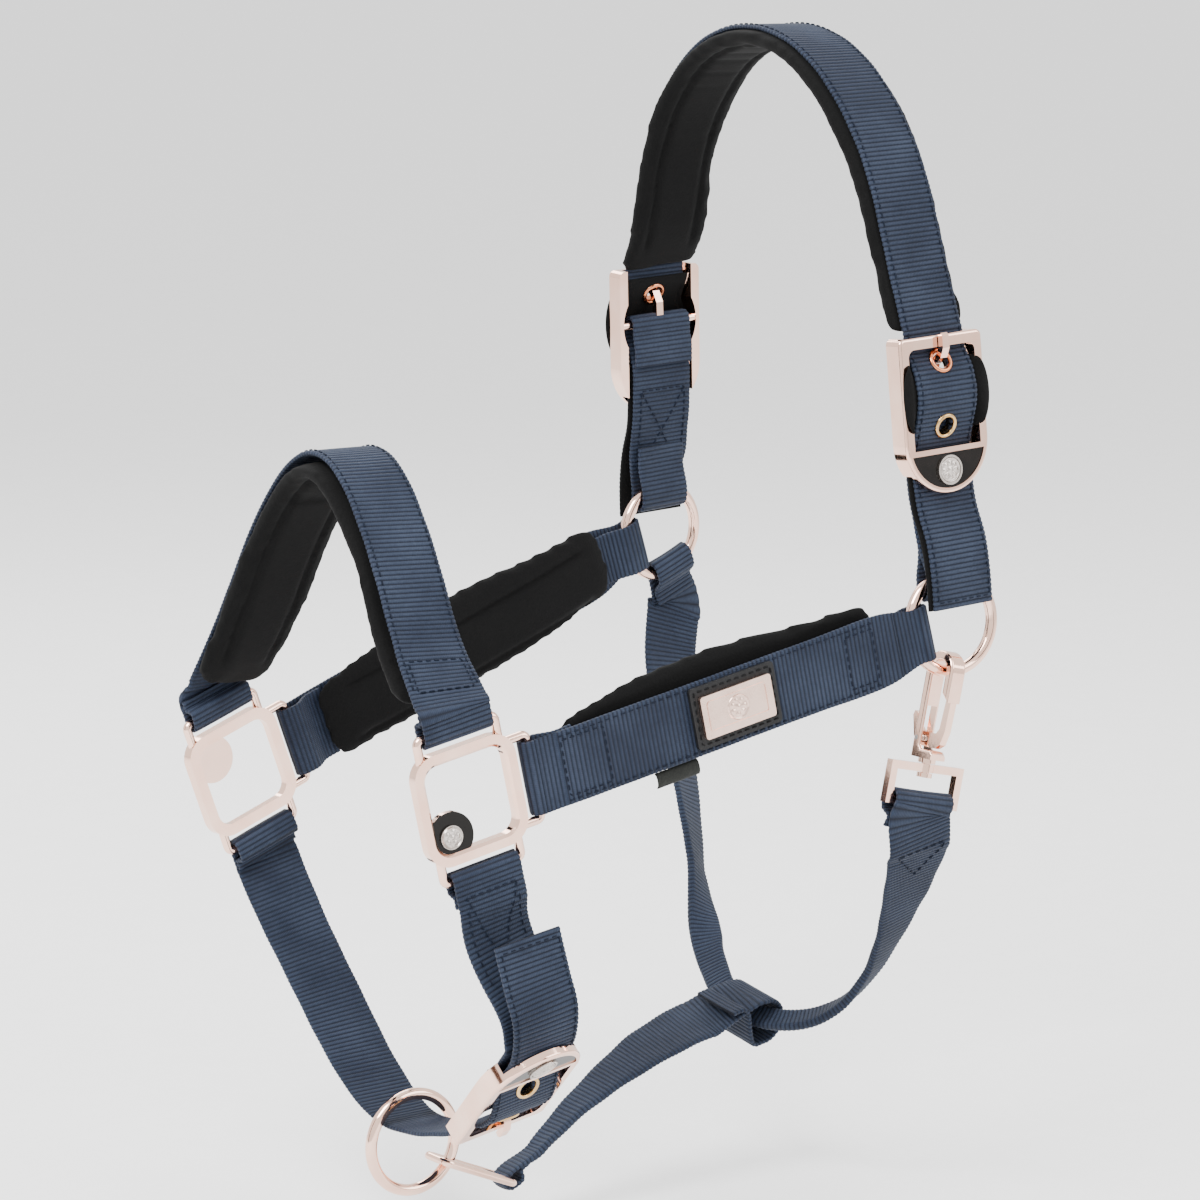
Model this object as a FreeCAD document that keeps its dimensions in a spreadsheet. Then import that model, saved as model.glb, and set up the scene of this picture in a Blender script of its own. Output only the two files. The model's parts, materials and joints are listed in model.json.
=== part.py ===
"""Full-size horse head collar: ribbed webbing straps on padded linings, held together by plated
rings, buckles and a trigger snap.

Row frame: +Z up, -X towards the nose, -Y the near (left) side of the horse. The origin is the
point of the crown lining that rests on the poll, in the middle of the crown.
"""
import FreeCAD, Part

import math
import os

import Sketcher

Vec = FreeCAD.Vector
doc = FreeCAD.newDocument("head_collar")

# ---------------------------------------------------------------- driving dimensions
SIZES = {
    "web_width": 25.0,
    "web_thick": 1.6,
    "pad_width": 34.0,
    "pad_thick": 6.0,
    "lining_width": 27.0,
    "lining_thick": 1.2,
    "ring_radius": 16.5,
    "ring_wire": 4.0,
    "square_side": 37.0,
    "square_window": 29.4,
    "square_depth": 4.0,
    "square_corner": 8.0,
    "slot_rise": 5.5,
    "slot_wire": 3.0,
    "buckle_width": 35.0,
    "buckle_depth": 7.25,
    "buckle_top": 20.0,
    "buckle_nose": 15.5,
    "window_width": 28.0,
    "window_top": 16.0,
    "window_bottom": 17.6,
    "bulge_radius": 16.0,
    "strap_relief": 4.35,
    "pivot_radius": 1.7,
    "tongue_width": 2.8,
    "eyelet_outer": 4.5,
    "eyelet_hole": 3.0,
    "eyelet_thick": 0.6,
    "enamel_thick": 0.8,
    "medal_radius": 5.0,
    "eye_width": 31.6,
    "eye_height": 14.5,
    "eye_bar": 2.8,
    "hook_thick": 6.4,
    "link_wire": 2.8,
}

sheet = doc.addObject("Spreadsheet::Sheet", "Sizes")
for row, (alias, value) in enumerate(SIZES.items(), start=1):
    sheet.set("A%d" % row, alias)
    sheet.set("B%d" % row, repr(value))
    sheet.setAlias("B%d" % row, alias)
doc.recompute()

WEB = SIZES["web_thick"]
GAP = 0.3

# Heights and places of the hardware. The collar hangs a little skewed, so each side has its own.
RING_X, RING_Y = 12.0, 83.4
SQUARE_X, SQUARE_Y = -173.0, 71.0
RING_Z = {"near": -189.4, "far": -177.7}
SQUARE_Z = {"near": -230.4, "far": -244.2}
PIVOT_RISE = 77.0
SIDE = {"near": -1.0, "far": 1.0}
LEAD_RING = Vec(-149.6, 0.0, -362.0)
CHIN_PIVOT = Vec(-149.0, -58.0, -331.0)


# ---------------------------------------------------------------- vectors, frames and labels
def unit(vector):
    return Vec(vector) / vector.Length


def square_to(vector, axis):
    """The part of vector that is at right angles to the unit axis, made a unit vector."""
    return unit(vector - axis * vector.dot(axis))


class Frame:
    """A local frame: an origin and three unit axes, the third being the outward one."""

    def __init__(self, origin, x_axis, y_axis):
        self.origin = Vec(origin)
        self.x = unit(x_axis)
        self.y = square_to(y_axis, self.x)
        self.z = self.x.cross(self.y)

    def at(self, x, y, z=0.0):
        return self.origin + self.x * x + self.y * y + self.z * z

    def placement(self):
        matrix = FreeCAD.Matrix(
            self.x.x, self.y.x, self.z.x, self.origin.x,
            self.x.y, self.y.y, self.z.y, self.origin.y,
            self.x.z, self.y.z, self.z.z, self.origin.z,
            0, 0, 0, 1)
        return FreeCAD.Placement(matrix)


def ring_centre(side):
    return Vec(RING_X, SIDE[side] * RING_Y, RING_Z[side])


def square_centre(side):
    return Vec(SQUARE_X, SIDE[side] * SQUARE_Y, SQUARE_Z[side])


def crown_frame(side):
    """Crown buckle: y runs up the strap from the cheek ring, z outwards, origin on the pivot bar's axis."""
    up = unit(Vec(-4.6, -4.4 * SIDE[side], 76.7))
    out = square_to(Vec(0, SIDE[side], 0), up)
    return Frame(ring_centre(side) + up * PIVOT_RISE, up.cross(out), up)


def cheek_frame(side):
    """Cheekpiece: x runs from the cheek ring towards the square, y up, z out from the head."""
    along = unit(square_centre(side) - ring_centre(side))
    out = square_to(Vec(0, SIDE[side], 0), along)
    up = square_to(Vec(0, 0, 1), along)
    up = square_to(up, out)
    return along, up, out


def ring_axis(side):
    """The cheek ring's axis, square to both the strap above it and the cheekpiece."""
    axis = unit(cheek_frame(side)[0].cross(crown_frame(side).y))
    return axis if axis.y * SIDE[side] > 0 else -axis


def square_frame(side):
    """Square ring: x points back to the cheekpiece and z out; the far casting is the same, turned over."""
    along, up, out = cheek_frame(side)
    return Frame(square_centre(side), -along, up * (-SIDE[side]))


def chin_frame():
    """Chin buckle: y runs on from the near strap towards the lead ring, z faces down and outwards."""
    along = unit(Vec(0.13, 0.76, -0.64))
    out = square_to(Vec(0.13, -0.65, -0.74), along)
    return Frame(CHIN_PIVOT, along.cross(out), along)


SNAP_LEAN = unit(Vec(0.217, 0, 0.976))
SNAP_TOUCH = ring_centre("near") + Vec(-2.0, 0, -16.4)


def snap_frame():
    """Snap: x points outwards, y up the shank, origin where the cheek ring's wire lies in the hook."""
    return Frame(SNAP_TOUCH, Vec(0, -1, 0), SNAP_LEAN)


sub_parts = []


def keep(item, label, frame=None):
    item.Label = label
    if frame is not None:
        item.Placement = frame.placement()
    sub_parts.append(item)
    return item


def bind(item, name, expression):
    item.setExpression(name, expression)


# ---------------------------------------------------------------- soft bands
def band_section(point, tangent, across, width, thickness, shift):
    """A closed rectangle across the band: shift moves it along the band's outward normal."""
    across = square_to(across, tangent)
    normal = across.cross(tangent)
    middle = point + normal * shift
    half, lift = across * (width / 2), normal * (thickness / 2)
    corners = [middle - half - lift, middle + half - lift, middle + half + lift, middle - half + lift]
    return Part.makePolygon(corners + corners[:1])


def band(stations, shift=0.0):
    """A closed strip through stations of (point, across, width, thickness)."""
    points = [station[0] for station in stations]
    wires = []
    for index, (point, across, width, thickness) in enumerate(stations):
        before = points[max(index - 1, 0)]
        after = points[min(index + 1, len(points) - 1)]
        wires.append(band_section(point, unit(after - before), across, width, thickness, shift))
    return Part.makeLoft(wires, True, True)


def smooth(stations, count):
    """count stations on a smooth line through the given ones, easing across, width and thickness."""
    curve = Part.BSplineCurve()
    curve.interpolate([station[0] for station in stations])
    marks = [curve.parameter(station[0]) for station in stations]
    first, last = curve.FirstParameter, curve.LastParameter
    eased = []
    for step in range(count):
        at = first + (last - first) * step / (count - 1)
        index = max(i for i, mark in enumerate(marks[:-1]) if mark <= at + 1e-9)
        span = (at - marks[index]) / (marks[index + 1] - marks[index])
        here, there = stations[index], stations[index + 1]
        across = unit(here[1] * (1 - span) + there[1] * span)
        width = here[2] * (1 - span) + there[2] * span
        thickness = here[3] * (1 - span) + there[3] * span
        eased.append((curve.value(at), across, width, thickness))
    return eased


FOLD_STEPS = 6


def fold(bar, towards, outward, across, wire_radius, width, tail):
    """Stations that lead from the outer layer round a bar and back under it.

    across runs along the bar, towards points up the strap and outward to the side of its face.
    """
    across = unit(across)
    towards = square_to(towards, across)
    outward = square_to(square_to(outward, across), towards)
    radius = wire_radius + GAP + WEB / 2
    stations = [(bar + outward * radius + towards * 4, across, width, WEB)]
    for step in range(FOLD_STEPS + 1):
        turn = math.pi * step / FOLD_STEPS
        place = bar + outward * (radius * math.cos(turn)) - towards * (radius * math.sin(turn))
        stations.append((place, across, width, WEB))
    under = radius - WEB - GAP
    stations.append((bar - outward * radius + towards * 4, across, width, WEB))
    stations.append((bar + outward * under + towards * (tail * 0.6), across, width, WEB))
    stations.append((bar + outward * under + towards * tail, across, width, WEB))
    return stations


def soft(label, shape):
    item = doc.addObject("Part::Feature", label)
    item.Shape = shape
    return keep(item, label)


def slot_cut(shape, frame, half_width, low, high, floor, top):
    """Cuts a slot for a buckle's tongue out of a strap."""
    tool = Part.makeBox(2 * half_width, high - low, top - floor, Vec(-half_width, low, floor))
    tool.Placement = frame.placement()
    return shape.cut(tool)


# ---------------------------------------------------------------- PartDesign helpers
def new_body(label, frame=None):
    body = doc.addObject("PartDesign::Body", label)
    keep(body, label, frame)
    return body


def plane_of(body, role):
    return [item for item in body.Origin.OriginFeatures if item.Role == role][0]


def new_sketch(body, role, lift=0.0):
    sketch = body.newObject("Sketcher::SketchObject", body.Label + "_sketch")
    sketch.AttachmentSupport = [(plane_of(body, role), "")]
    sketch.MapMode = "FlatFace"
    sketch.AttachmentOffset = FreeCAD.Placement(Vec(0, 0, lift), FreeCAD.Rotation())
    return sketch


def draw_loop(sketch, points):
    """A closed outline of straight lines; a point given as (through, end) adds an arc."""
    here = points[0]
    for target in points[1:] + points[:1]:
        if isinstance(target[0], tuple):
            through, end = target
            arc = Part.Arc(Vec(*here, 0), Vec(*through, 0), Vec(*end, 0))
            sketch.addGeometry(arc, False)
            here = end
        elif target != here:
            sketch.addGeometry(Part.LineSegment(Vec(*here, 0), Vec(*target, 0)), False)
            here = target


def draw_circle(sketch, x, y, radius_expression, radius):
    index = sketch.addGeometry(Part.Circle(Vec(x, y, 0), Vec(0, 0, 1), radius), False)
    number = sketch.addConstraint(Sketcher.Constraint("Radius", index, radius))
    sketch.setExpression("Constraints[%d]" % number, radius_expression)


def draw_rectangle(sketch, x0, y0, x1, y1):
    draw_loop(sketch, [(x0, y0), (x1, y0), (x1, y1), (x0, y1)])


def pad(body, sketch, length, midplane=False):
    feature = body.newObject("PartDesign::Pad", body.Label + "_pad")
    feature.Profile = sketch
    feature.Midplane = midplane
    if isinstance(length, str):
        feature.setExpression("Length", length)
    else:
        feature.Length = length
    return feature


def pocket(body, sketch, length, reversed_way=False, midplane=False):
    feature = body.newObject("PartDesign::Pocket", body.Label + "_pocket")
    feature.Profile = sketch
    feature.Midplane = midplane
    feature.Reversed = reversed_way
    if isinstance(length, str):
        feature.setExpression("Length", length)
    else:
        feature.Length = length
    return feature


def fillet(body, base, edge_names, radius):
    feature = body.newObject("PartDesign::Fillet", body.Label + "_fillet")
    feature.Base = (base, edge_names)
    if isinstance(radius, str):
        feature.setExpression("Radius", radius)
    else:
        feature.Radius = radius
    return feature


def edges_where(feature, test):
    """Names of the edges whose two ends and middle all pass the test."""
    names = []
    for index, edge in enumerate(feature.Shape.Edges, start=1):
        first, last = edge.ParameterRange
        marks = [edge.valueAt(first), edge.valueAt((first + last) / 2), edge.valueAt(last)]
        if all(test(mark) for mark in marks):
            names.append("Edge%d" % index)
    return names


# ---------------------------------------------------------------- rings, squares and link
def build_ring(label, centre, axis):
    ring = doc.addObject("Part::Torus", label)
    bind(ring, "Radius1", "Sizes.ring_radius")
    bind(ring, "Radius2", "Sizes.ring_wire / 2")
    keep(ring, label)
    ring.Placement = FreeCAD.Placement(centre, FreeCAD.Rotation(Vec(0, 0, 1), axis))
    return ring


WINDOW_BEVEL = 0.9


def build_square(side):
    """A square frame with wire slots on three sides: noseband, cheekpiece and chin strap."""
    body = new_body(side + "_square_ring", square_frame(side))
    half, window = SIZES["square_side"] / 2, SIZES["square_window"] / 2
    outer = new_sketch(body, "XY_Plane")
    draw_rectangle(outer, -half, -half, half, half)
    slab = pad(body, outer, "Sizes.square_depth", midplane=True)
    doc.recompute()
    corners = edges_where(slab, lambda p: abs(abs(p.x) - half) < 0.01 and abs(abs(p.y) - half) < 0.01)
    fillet(body, slab, corners, "Sizes.square_corner")
    doc.recompute()
    inner = new_sketch(body, "XY_Plane")
    draw_rectangle(inner, -window, -window, window, window)
    hole = pocket(body, inner, 20, midplane=True)
    doc.recompute()
    corners = edges_where(hole, lambda p: abs(abs(p.x) - window) < 0.01 and abs(abs(p.y) - window) < 0.01)
    rounded = fillet(body, hole, corners, "Sizes.square_corner - 3")
    doc.recompute()
    front, reach_in = SIZES["square_depth"] / 2, window + 0.01
    lip = edges_where(rounded, lambda p: p.z > front - 0.01 and abs(p.x) < reach_in and abs(p.y) < reach_in)
    bevel = body.newObject("PartDesign::Chamfer", body.Label + "_window_bevel")
    bevel.Base = (rounded, lip)
    bevel.Size = WINDOW_BEVEL
    doc.recompute()
    rise, reach = SIZES["slot_rise"], SIZES["web_width"] / 2 + SIZES["slot_wire"] / 2 + 0.3
    bend = 1.8
    slot = new_sketch(body, "XY_Plane")
    corner = bend * math.sqrt(0.5)
    top = half + rise
    for sign in (-1, 1):
        side_x = sign * reach
        slot.addGeometry(Part.LineSegment(Vec(side_x, half - 2.5, 0), Vec(side_x, top - bend, 0)), False)
        arc = Part.Arc(Vec(side_x, top - bend, 0),
                       Vec(side_x - sign * (bend - corner), top - bend + corner, 0),
                       Vec(side_x - sign * bend, top, 0))
        slot.addGeometry(arc, False)
    slot.addGeometry(Part.LineSegment(Vec(-reach + bend, top, 0), Vec(reach - bend, top, 0)), False)
    wire_end = new_sketch(body, "XZ_Plane", -(half - 2.5))
    draw_circle(wire_end, reach, 0, "Sizes.slot_wire / 2", SIZES["slot_wire"] / 2)
    pipe = body.newObject("PartDesign::AdditivePipe", body.Label + "_slot")
    pipe.Profile = wire_end
    pipe.Spine = (slot, [])
    doc.recompute()
    turned = body.newObject("PartDesign::PolarPattern", body.Label + "_slots")
    turned.Originals = [pipe]
    turned.Axis = (plane_of(body, "Z_Axis"), [""])
    turned.Angle = 180
    turned.Occurrences = 3
    turned.Reversed = True
    body.Tip = turned
    return body


BADGE_RADIUS, BADGE_INSET = 8.2, 5.4


def build_badge(side):
    """The black enamel corner plate of a square ring with its raised round emblem."""
    frame = square_frame(side)
    edge = 0.05 - SIZES["square_window"] / 2
    middle = BADGE_INSET - SIZES["square_window"] / 2
    round_off = SIZES["square_corner"] - 3 - 0.05
    bend = edge + round_off * (1 - math.sqrt(0.5))
    reach = middle + math.sqrt(BADGE_RADIUS ** 2 - (edge - middle) ** 2)
    front = middle + BADGE_RADIUS * math.sqrt(0.5)
    badge = new_body(side + "_corner_badge", frame)
    outline = new_sketch(badge, "XY_Plane")
    draw_loop(outline, [(edge, reach), (edge, edge + round_off), ((bend, bend), (edge + round_off, edge)),
                        (reach, edge), ((front, front), (edge, reach))])
    pad(badge, outline, 2.0, midplane=True)
    emblem = new_body(side + "_badge_emblem", frame)
    disc = new_sketch(emblem, "XY_Plane", 1.0)
    draw_circle(disc, middle, middle, "3.9 mm", 3.9)
    pad(emblem, disc, 0.8)
    field = new_sketch(emblem, "XY_Plane", 1.8)
    draw_circle(field, middle, middle, "3.3 mm", 3.3)
    pocket(emblem, field, 0.3)


LINK_START, LINK_END = Vec(-141.0, -1.0, -369.0), Vec(-113.0, -1.0, -381.0)
LINK_INNER = 9.4


def build_link():
    """Oblong wire link between the lead ring and the jaw strap."""
    along = unit(LINK_END - LINK_START)
    frame = Frame((LINK_START + LINK_END) / 2, along, Vec(0, 1, 0))
    body = new_body("jaw_link", frame)
    half_length = (LINK_END - LINK_START).Length / 2
    half_width = (LINK_INNER + SIZES["link_wire"]) / 2
    bend = 2.4
    corner = bend * math.sqrt(0.5)
    spine = new_sketch(body, "XY_Plane")
    for sx in (-1, 1):
        spine.addGeometry(Part.LineSegment(Vec(sx * half_length, bend - half_width, 0),
                                           Vec(sx * half_length, half_width - bend, 0)), False)
        spine.addGeometry(Part.LineSegment(Vec(bend - half_length, sx * half_width, 0),
                                           Vec(half_length - bend, sx * half_width, 0)), False)
        for sy in (-1, 1):
            arc = Part.Arc(Vec(sx * half_length, sy * (half_width - bend), 0),
                           Vec(sx * (half_length - bend + corner), sy * (half_width - bend + corner), 0),
                           Vec(sx * (half_length - bend), sy * half_width, 0))
            spine.addGeometry(arc, False)
    profile = new_sketch(body, "YZ_Plane")
    draw_circle(profile, half_width, 0, "Sizes.link_wire / 2", SIZES["link_wire"] / 2)
    pipe = body.newObject("PartDesign::AdditivePipe", "jaw_link_pipe")
    pipe.Profile = profile
    pipe.Spine = (spine, [])
    return body


# ---------------------------------------------------------------- buckles
UPPER_EYELET, LOWER_EYELET = 10.9, -10.2
PLATE_REACH = 33.0


SHOULDER_RADIUS, WINDOW_RADIUS = 2.2, 2.6
# Metal left behind the pivot bar's bore.
BACK_COVER = 0.25


def build_buckle(name, frame):
    """A buckle frame, its pivot bar, tongue, enamel plate and medallion; y runs up the strap."""
    depth, back = SIZES["buckle_depth"], -SIZES["pivot_radius"] - BACK_COVER
    half, window = SIZES["buckle_width"] / 2, SIZES["window_width"] / 2
    nose, top = SIZES["buckle_nose"], SIZES["buckle_top"]
    body = new_body(name + "_buckle_frame", frame)
    outline = new_sketch(body, "XY_Plane", back)
    round_nose = ((0.0, -nose - half), (half, -nose))
    draw_loop(outline, [(half, -nose), (half, top), (-half, top), (-half, -nose), round_nose])
    slab = pad(body, outline, "Sizes.buckle_depth")
    doc.recompute()
    shoulders = edges_where(slab, lambda p: abs(abs(p.x) - half) < 0.01 and abs(p.y - top) < 0.01)
    slab = fillet(body, slab, shoulders, SHOULDER_RADIUS)
    doc.recompute()
    rim = edges_where(slab, lambda p: abs(p.z - depth - back) < 0.01)
    fillet(body, slab, rim, 1.0)
    doc.recompute()
    opening = new_sketch(body, "XY_Plane", back)
    low, high = -SIZES["window_bottom"], SIZES["window_top"]
    draw_rectangle(opening, -window, low, window, high)
    hole = pocket(body, opening, 40, midplane=True)
    doc.recompute()
    upper_corners = edges_where(hole, lambda p: abs(abs(p.x) - window) < 0.01 and abs(p.y - high) < 0.01)
    fillet(body, hole, upper_corners, WINDOW_RADIUS)
    doc.recompute()
    bulge = new_sketch(body, "XY_Plane", back)
    draw_circle(bulge, 0, 0, "Sizes.bulge_radius", SIZES["bulge_radius"])
    pocket(body, bulge, 40, midplane=True)
    relief = new_sketch(body, "XY_Plane", back - 1)
    draw_rectangle(relief, -window, low - 20, window, top + 2)
    pocket(body, relief, "Sizes.strap_relief + 1", reversed_way=True)
    recess = new_sketch(body, "XY_Plane", back + depth + 1)
    draw_loop(recess, plate_outline(1.8))
    pocket(body, recess, "Sizes.enamel_thick + 1.4")
    bore = new_sketch(body, "YZ_Plane")
    draw_circle(bore, 0, 0, "Sizes.pivot_radius", SIZES["pivot_radius"])
    pocket(body, bore, 33.2, midplane=True)

    bar = doc.addObject("Part::Cylinder", name + "_pivot_bar")
    bind(bar, "Radius", "Sizes.pivot_radius")
    bar.Height = 33.2
    keep(bar, name + "_pivot_bar")
    bar.Placement = Frame(frame.at(-16.6, 0), frame.y, frame.z).placement()

    build_tongue(name, frame)

    enamel = new_body(name + "_enamel_plate", frame)
    face = new_sketch(enamel, "XY_Plane", back + depth - 0.4 - SIZES["enamel_thick"])
    draw_loop(face, plate_outline(1.85))
    pad(enamel, face, "Sizes.enamel_thick")

    medal = new_body(name + "_medallion", frame)
    disc = new_sketch(medal, "XY_Plane", back + depth - 0.4)
    draw_circle(disc, 0, -25.2, "Sizes.medal_radius", SIZES["medal_radius"])
    pad(medal, disc, 0.9)
    field = new_sketch(medal, "XY_Plane", back + depth + 0.5)
    draw_circle(field, 0, -25.2, "Sizes.medal_radius - 0.7", SIZES["medal_radius"] - 0.7)
    pocket(medal, field, 0.4)


def plate_outline(margin):
    """The D-shaped outline below the cross bar, set in from the frame's edge by margin."""
    nose = SIZES["buckle_nose"]
    radius = SIZES["buckle_width"] / 2 - margin
    chord = -SIZES["window_bottom"] - margin
    reach = math.sqrt(radius ** 2 - (chord + nose) ** 2)
    return [(-reach, chord), ((0.0, -nose - radius), (reach, chord))]


def build_tongue(name, frame):
    """The tongue: a collar on the pivot bar and a bent finger through the eyelet to the top bar."""
    body = new_body(name + "_tongue", frame)
    lower = [(0.0, -2.2), (7.5, -1.9), (11.4, 0.4), (13.6, 4.2), (16.0, 5.6), (20.2, 5.7)]
    upper = [(20.6, 7.0), (19.6, 7.9), (15.6, 7.9), (12.2, 6.2), (9.8, 2.2), (7.0, 0.6), (0.0, 0.6)]
    side = new_sketch(body, "YZ_Plane")
    draw_loop(side, lower + upper)
    finger = pad(body, side, "Sizes.tongue_width", midplane=True)
    doc.recompute()
    collar = new_sketch(body, "YZ_Plane")
    draw_circle(collar, 0, 0, "Sizes.pivot_radius + 1.5", SIZES["pivot_radius"] + 1.5)
    pad(body, collar, 4.6, midplane=True)
    bore = new_sketch(body, "YZ_Plane")
    draw_circle(bore, 0, 0, "Sizes.pivot_radius + 0.1", SIZES["pivot_radius"] + 0.1)
    pocket(body, bore, 20, midplane=True)
    return finger


def eyelet(label, place):
    """A flanged tube set in the strap; place is a frame on the strap's outer face."""
    barrel = doc.addObject("Part::Cylinder", label + "_barrel")
    bind(barrel, "Radius", "Sizes.eyelet_hole + 0.4")
    bind(barrel, "Height", "Sizes.web_thick")
    barrel.Placement.Base = Vec(0, 0, -WEB)
    flange = doc.addObject("Part::Cylinder", label + "_flange")
    bind(flange, "Radius", "Sizes.eyelet_outer")
    bind(flange, "Height", "Sizes.eyelet_thick")
    joined = doc.addObject("Part::Fuse", label + "_tube")
    joined.Base, joined.Tool = barrel, flange
    hole = doc.addObject("Part::Cylinder", label + "_hole")
    bind(hole, "Radius", "Sizes.eyelet_hole")
    hole.Height = 10
    hole.Placement.Base = Vec(0, 0, -5)
    ring = doc.addObject("Part::Cut", label)
    ring.Base, ring.Tool = joined, hole
    ring.Placement = place.placement()
    return ring


def strap_height(run, y):
    """Height of a strap's middle above the pivot bar at y, and its slope there, from a run of (y, height)."""
    for (y0, z0), (y1, z1) in zip(run, run[1:]):
        if y0 <= y <= y1:
            slope = (z1 - z0) / (y1 - y0)
            return z0 + slope * (y - y0), slope
    raise ValueError("outside the run")


# The strap's middle over a buckle as (along, height): under the nose plate, over the pivot, under the top.
BUCKLE_RUN = [(-31.0, 1.3), (-17.4, 1.3), (-15.6, 1.8), (-5.4, 5.8), (-2.0, 6.5), (1.5, 6.7), (5.0, 6.1),
              (7.6, 5.5), (15.2, 1.4), (17.0, 1.2), (21.0, 1.2)]
TAIL_RUN = [(-71.0, 7.2), (-59.0, 7.2), (-48.0, 5.5), (-37.0, 2.0)]


def strap_eyelets(label, frame, marks, extra=()):
    """Eyelets where the strap crosses a buckle at marks, plus any extra places, as separate rings."""
    rings = []
    for number, y in enumerate(marks, start=1):
        height, slope = strap_height(BUCKLE_RUN, y)
        along = unit(frame.y + frame.z * slope)
        middle = frame.at(0, y, height)
        place = Frame(middle, frame.x, along)
        place.origin = middle + place.z * (WEB / 2)
        rings.append(eyelet("%s_%d" % (label, number), place))
    for number, place in enumerate(extra, start=len(rings) + 1):
        rings.append(eyelet("%s_%d" % (label, number), place))
    group = doc.addObject("Part::Compound", label)
    group.Links = rings
    return keep(group, label)


def strap_punches(shape, frame, marks, extra=()):
    """Holes for the eyelets' barrels."""
    places = []
    for y in marks:
        height, slope = strap_height(BUCKLE_RUN, y)
        places.append(Frame(frame.at(0, y, height), frame.x, unit(frame.y + frame.z * slope)))
    for place in list(places) + list(extra):
        tool = Part.makeCylinder(SIZES["eyelet_hole"] + 0.4, 12, place.origin - place.z * 6, place.z)
        shape = shape.cut(tool)
    return shape


def along_run(frame, run, across_width, thickness=WEB):
    return [(frame.at(0, y, z), frame.x, across_width, thickness) for y, z in run]


# ---------------------------------------------------------------- snap hook
def build_snap():
    frame = snap_frame()
    hook = new_body("snap_hook_body", frame)
    outline = new_sketch(hook, "XY_Plane")
    draw_loop(outline, [(-6.6, -30.0), (-6.6, 0.0), ((0.1, 6.7), (6.8, 0.0)), (6.8, -10.1),
                        (3.6, -7.3), (3.6, 0.0), ((0.1, 3.5), (-3.4, 0.0)), (-3.4, -25.6), (-2.2, -27.0),
                        (3.0, -27.0), (4.0, -28.0), (4.0, -30.0)])
    bulk = pad(hook, outline, "Sizes.hook_thick", midplane=True)
    doc.recompute()
    half = SIZES["hook_thick"] / 2
    faces_edges = edges_where(bulk, lambda p: abs(abs(p.z) - half) < 0.01 and p.y > -29.9)
    fillet(hook, bulk, faces_edges, 0.9)
    slot = new_sketch(hook, "YZ_Plane")
    draw_rectangle(slot, -27.6, -2.1, -12.5, 2.1)
    pocket(hook, slot, 13.6, midplane=True)
    seat = new_sketch(hook, "XY_Plane")
    draw_circle(seat, -5.0, -23.6, "0.8 mm", 0.8)
    pocket(hook, seat, 20, midplane=True)
    shank = new_sketch(hook, "XZ_Plane", 30.0)
    draw_circle(shank, -1.2, 0, "Sizes.eye_bar + 0.2", SIZES["eye_bar"] + 0.2)
    pad(hook, shank, 1.5)
    stem = new_sketch(hook, "XZ_Plane", 30.0)
    draw_circle(stem, -1.2, 0, "Sizes.eye_bar / 2 + 0.1", SIZES["eye_bar"] / 2 + 0.1)
    pad(hook, stem, 6.4)
    head = new_sketch(hook, "XZ_Plane", 34.9)
    draw_circle(head, -1.2, 0, "Sizes.eye_bar - 0.2", SIZES["eye_bar"] - 0.2)
    pad(hook, head, 1.5)

    trigger = new_body("snap_trigger", frame)
    side = new_sketch(trigger, "XY_Plane", -0.6)
    draw_loop(side, [(3.9, -8.05), (6.3, -10.15), (6.0, -20.0), (4.6, -24.6), (2.0, -26.2), (-6.0, -26.0),
                     (-9.4, -23.4), (-11.6, -16.6), (-11.0, -15.0), (-9.6, -15.4), (-8.0, -19.8),
                     (-6.4, -21.2), (1.6, -21.2), (3.0, -19.4)])
    pad(trigger, side, 2.6, midplane=True)
    bore = new_sketch(trigger, "XY_Plane")
    draw_circle(bore, -5.0, -23.6, "0.9 mm", 0.9)
    pocket(trigger, bore, 20, midplane=True)

    pin = doc.addObject("Part::Cylinder", "snap_trigger_pin")
    pin.Radius = 0.8
    bind(pin, "Height", "Sizes.hook_thick")
    keep(pin, "snap_trigger_pin")
    pin.Placement = Frame(frame.at(-5.0, -23.6, -half), frame.x, frame.y).placement()

    coil = new_body("snap_trigger_spring", frame)
    ring = new_sketch(coil, "XY_Plane", 0.85)
    draw_circle(ring, -5.0, -23.6, "1.5 mm", 1.5)
    draw_circle(ring, -5.0, -23.6, "0.85 mm", 0.85)
    pad(coil, ring, 1.1)

    eye = new_body("snap_strap_eye", frame)
    bar, width, height = SIZES["eye_bar"], SIZES["eye_width"], SIZES["eye_height"]
    crown = -31.8
    rim = new_sketch(eye, "YZ_Plane", -1.2)
    draw_rectangle(rim, crown - height, -width / 2, crown, width / 2)
    plate = pad(eye, rim, "Sizes.eye_bar", midplane=True)
    inner = new_sketch(eye, "YZ_Plane", -1.2)
    draw_rectangle(inner, crown - height + bar, -width / 2 + bar, crown - bar, width / 2 - bar)
    pocket(eye, inner, 20, midplane=True)
    boss = new_sketch(eye, "XZ_Plane", -crown)
    draw_circle(boss, -1.2, 0, "Sizes.eye_bar", bar)
    pad(eye, boss, "Sizes.eye_bar")
    hole = new_sketch(eye, "XZ_Plane", -crown - 1)
    draw_circle(hole, -1.2, 0, "Sizes.eye_bar / 2 + 0.2", bar / 2 + 0.2)
    pocket(eye, hole, 8, reversed_way=True)
    return plate


# ---------------------------------------------------------------- straps and pads
def hang(side, y, z, x=None):
    lean = RING_X * (-z) / -RING_Z["near"] if x is None else x
    return Vec(lean, SIDE[side] * y, z)


CROWN_ARCH = [(70.5, -62.0), (61.0, -35.0), (46.0, -13.5), (25.0, 1.6)]
SEAT_RISE = SIZES["pad_thick"] + 0.1 + WEB / 2


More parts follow.
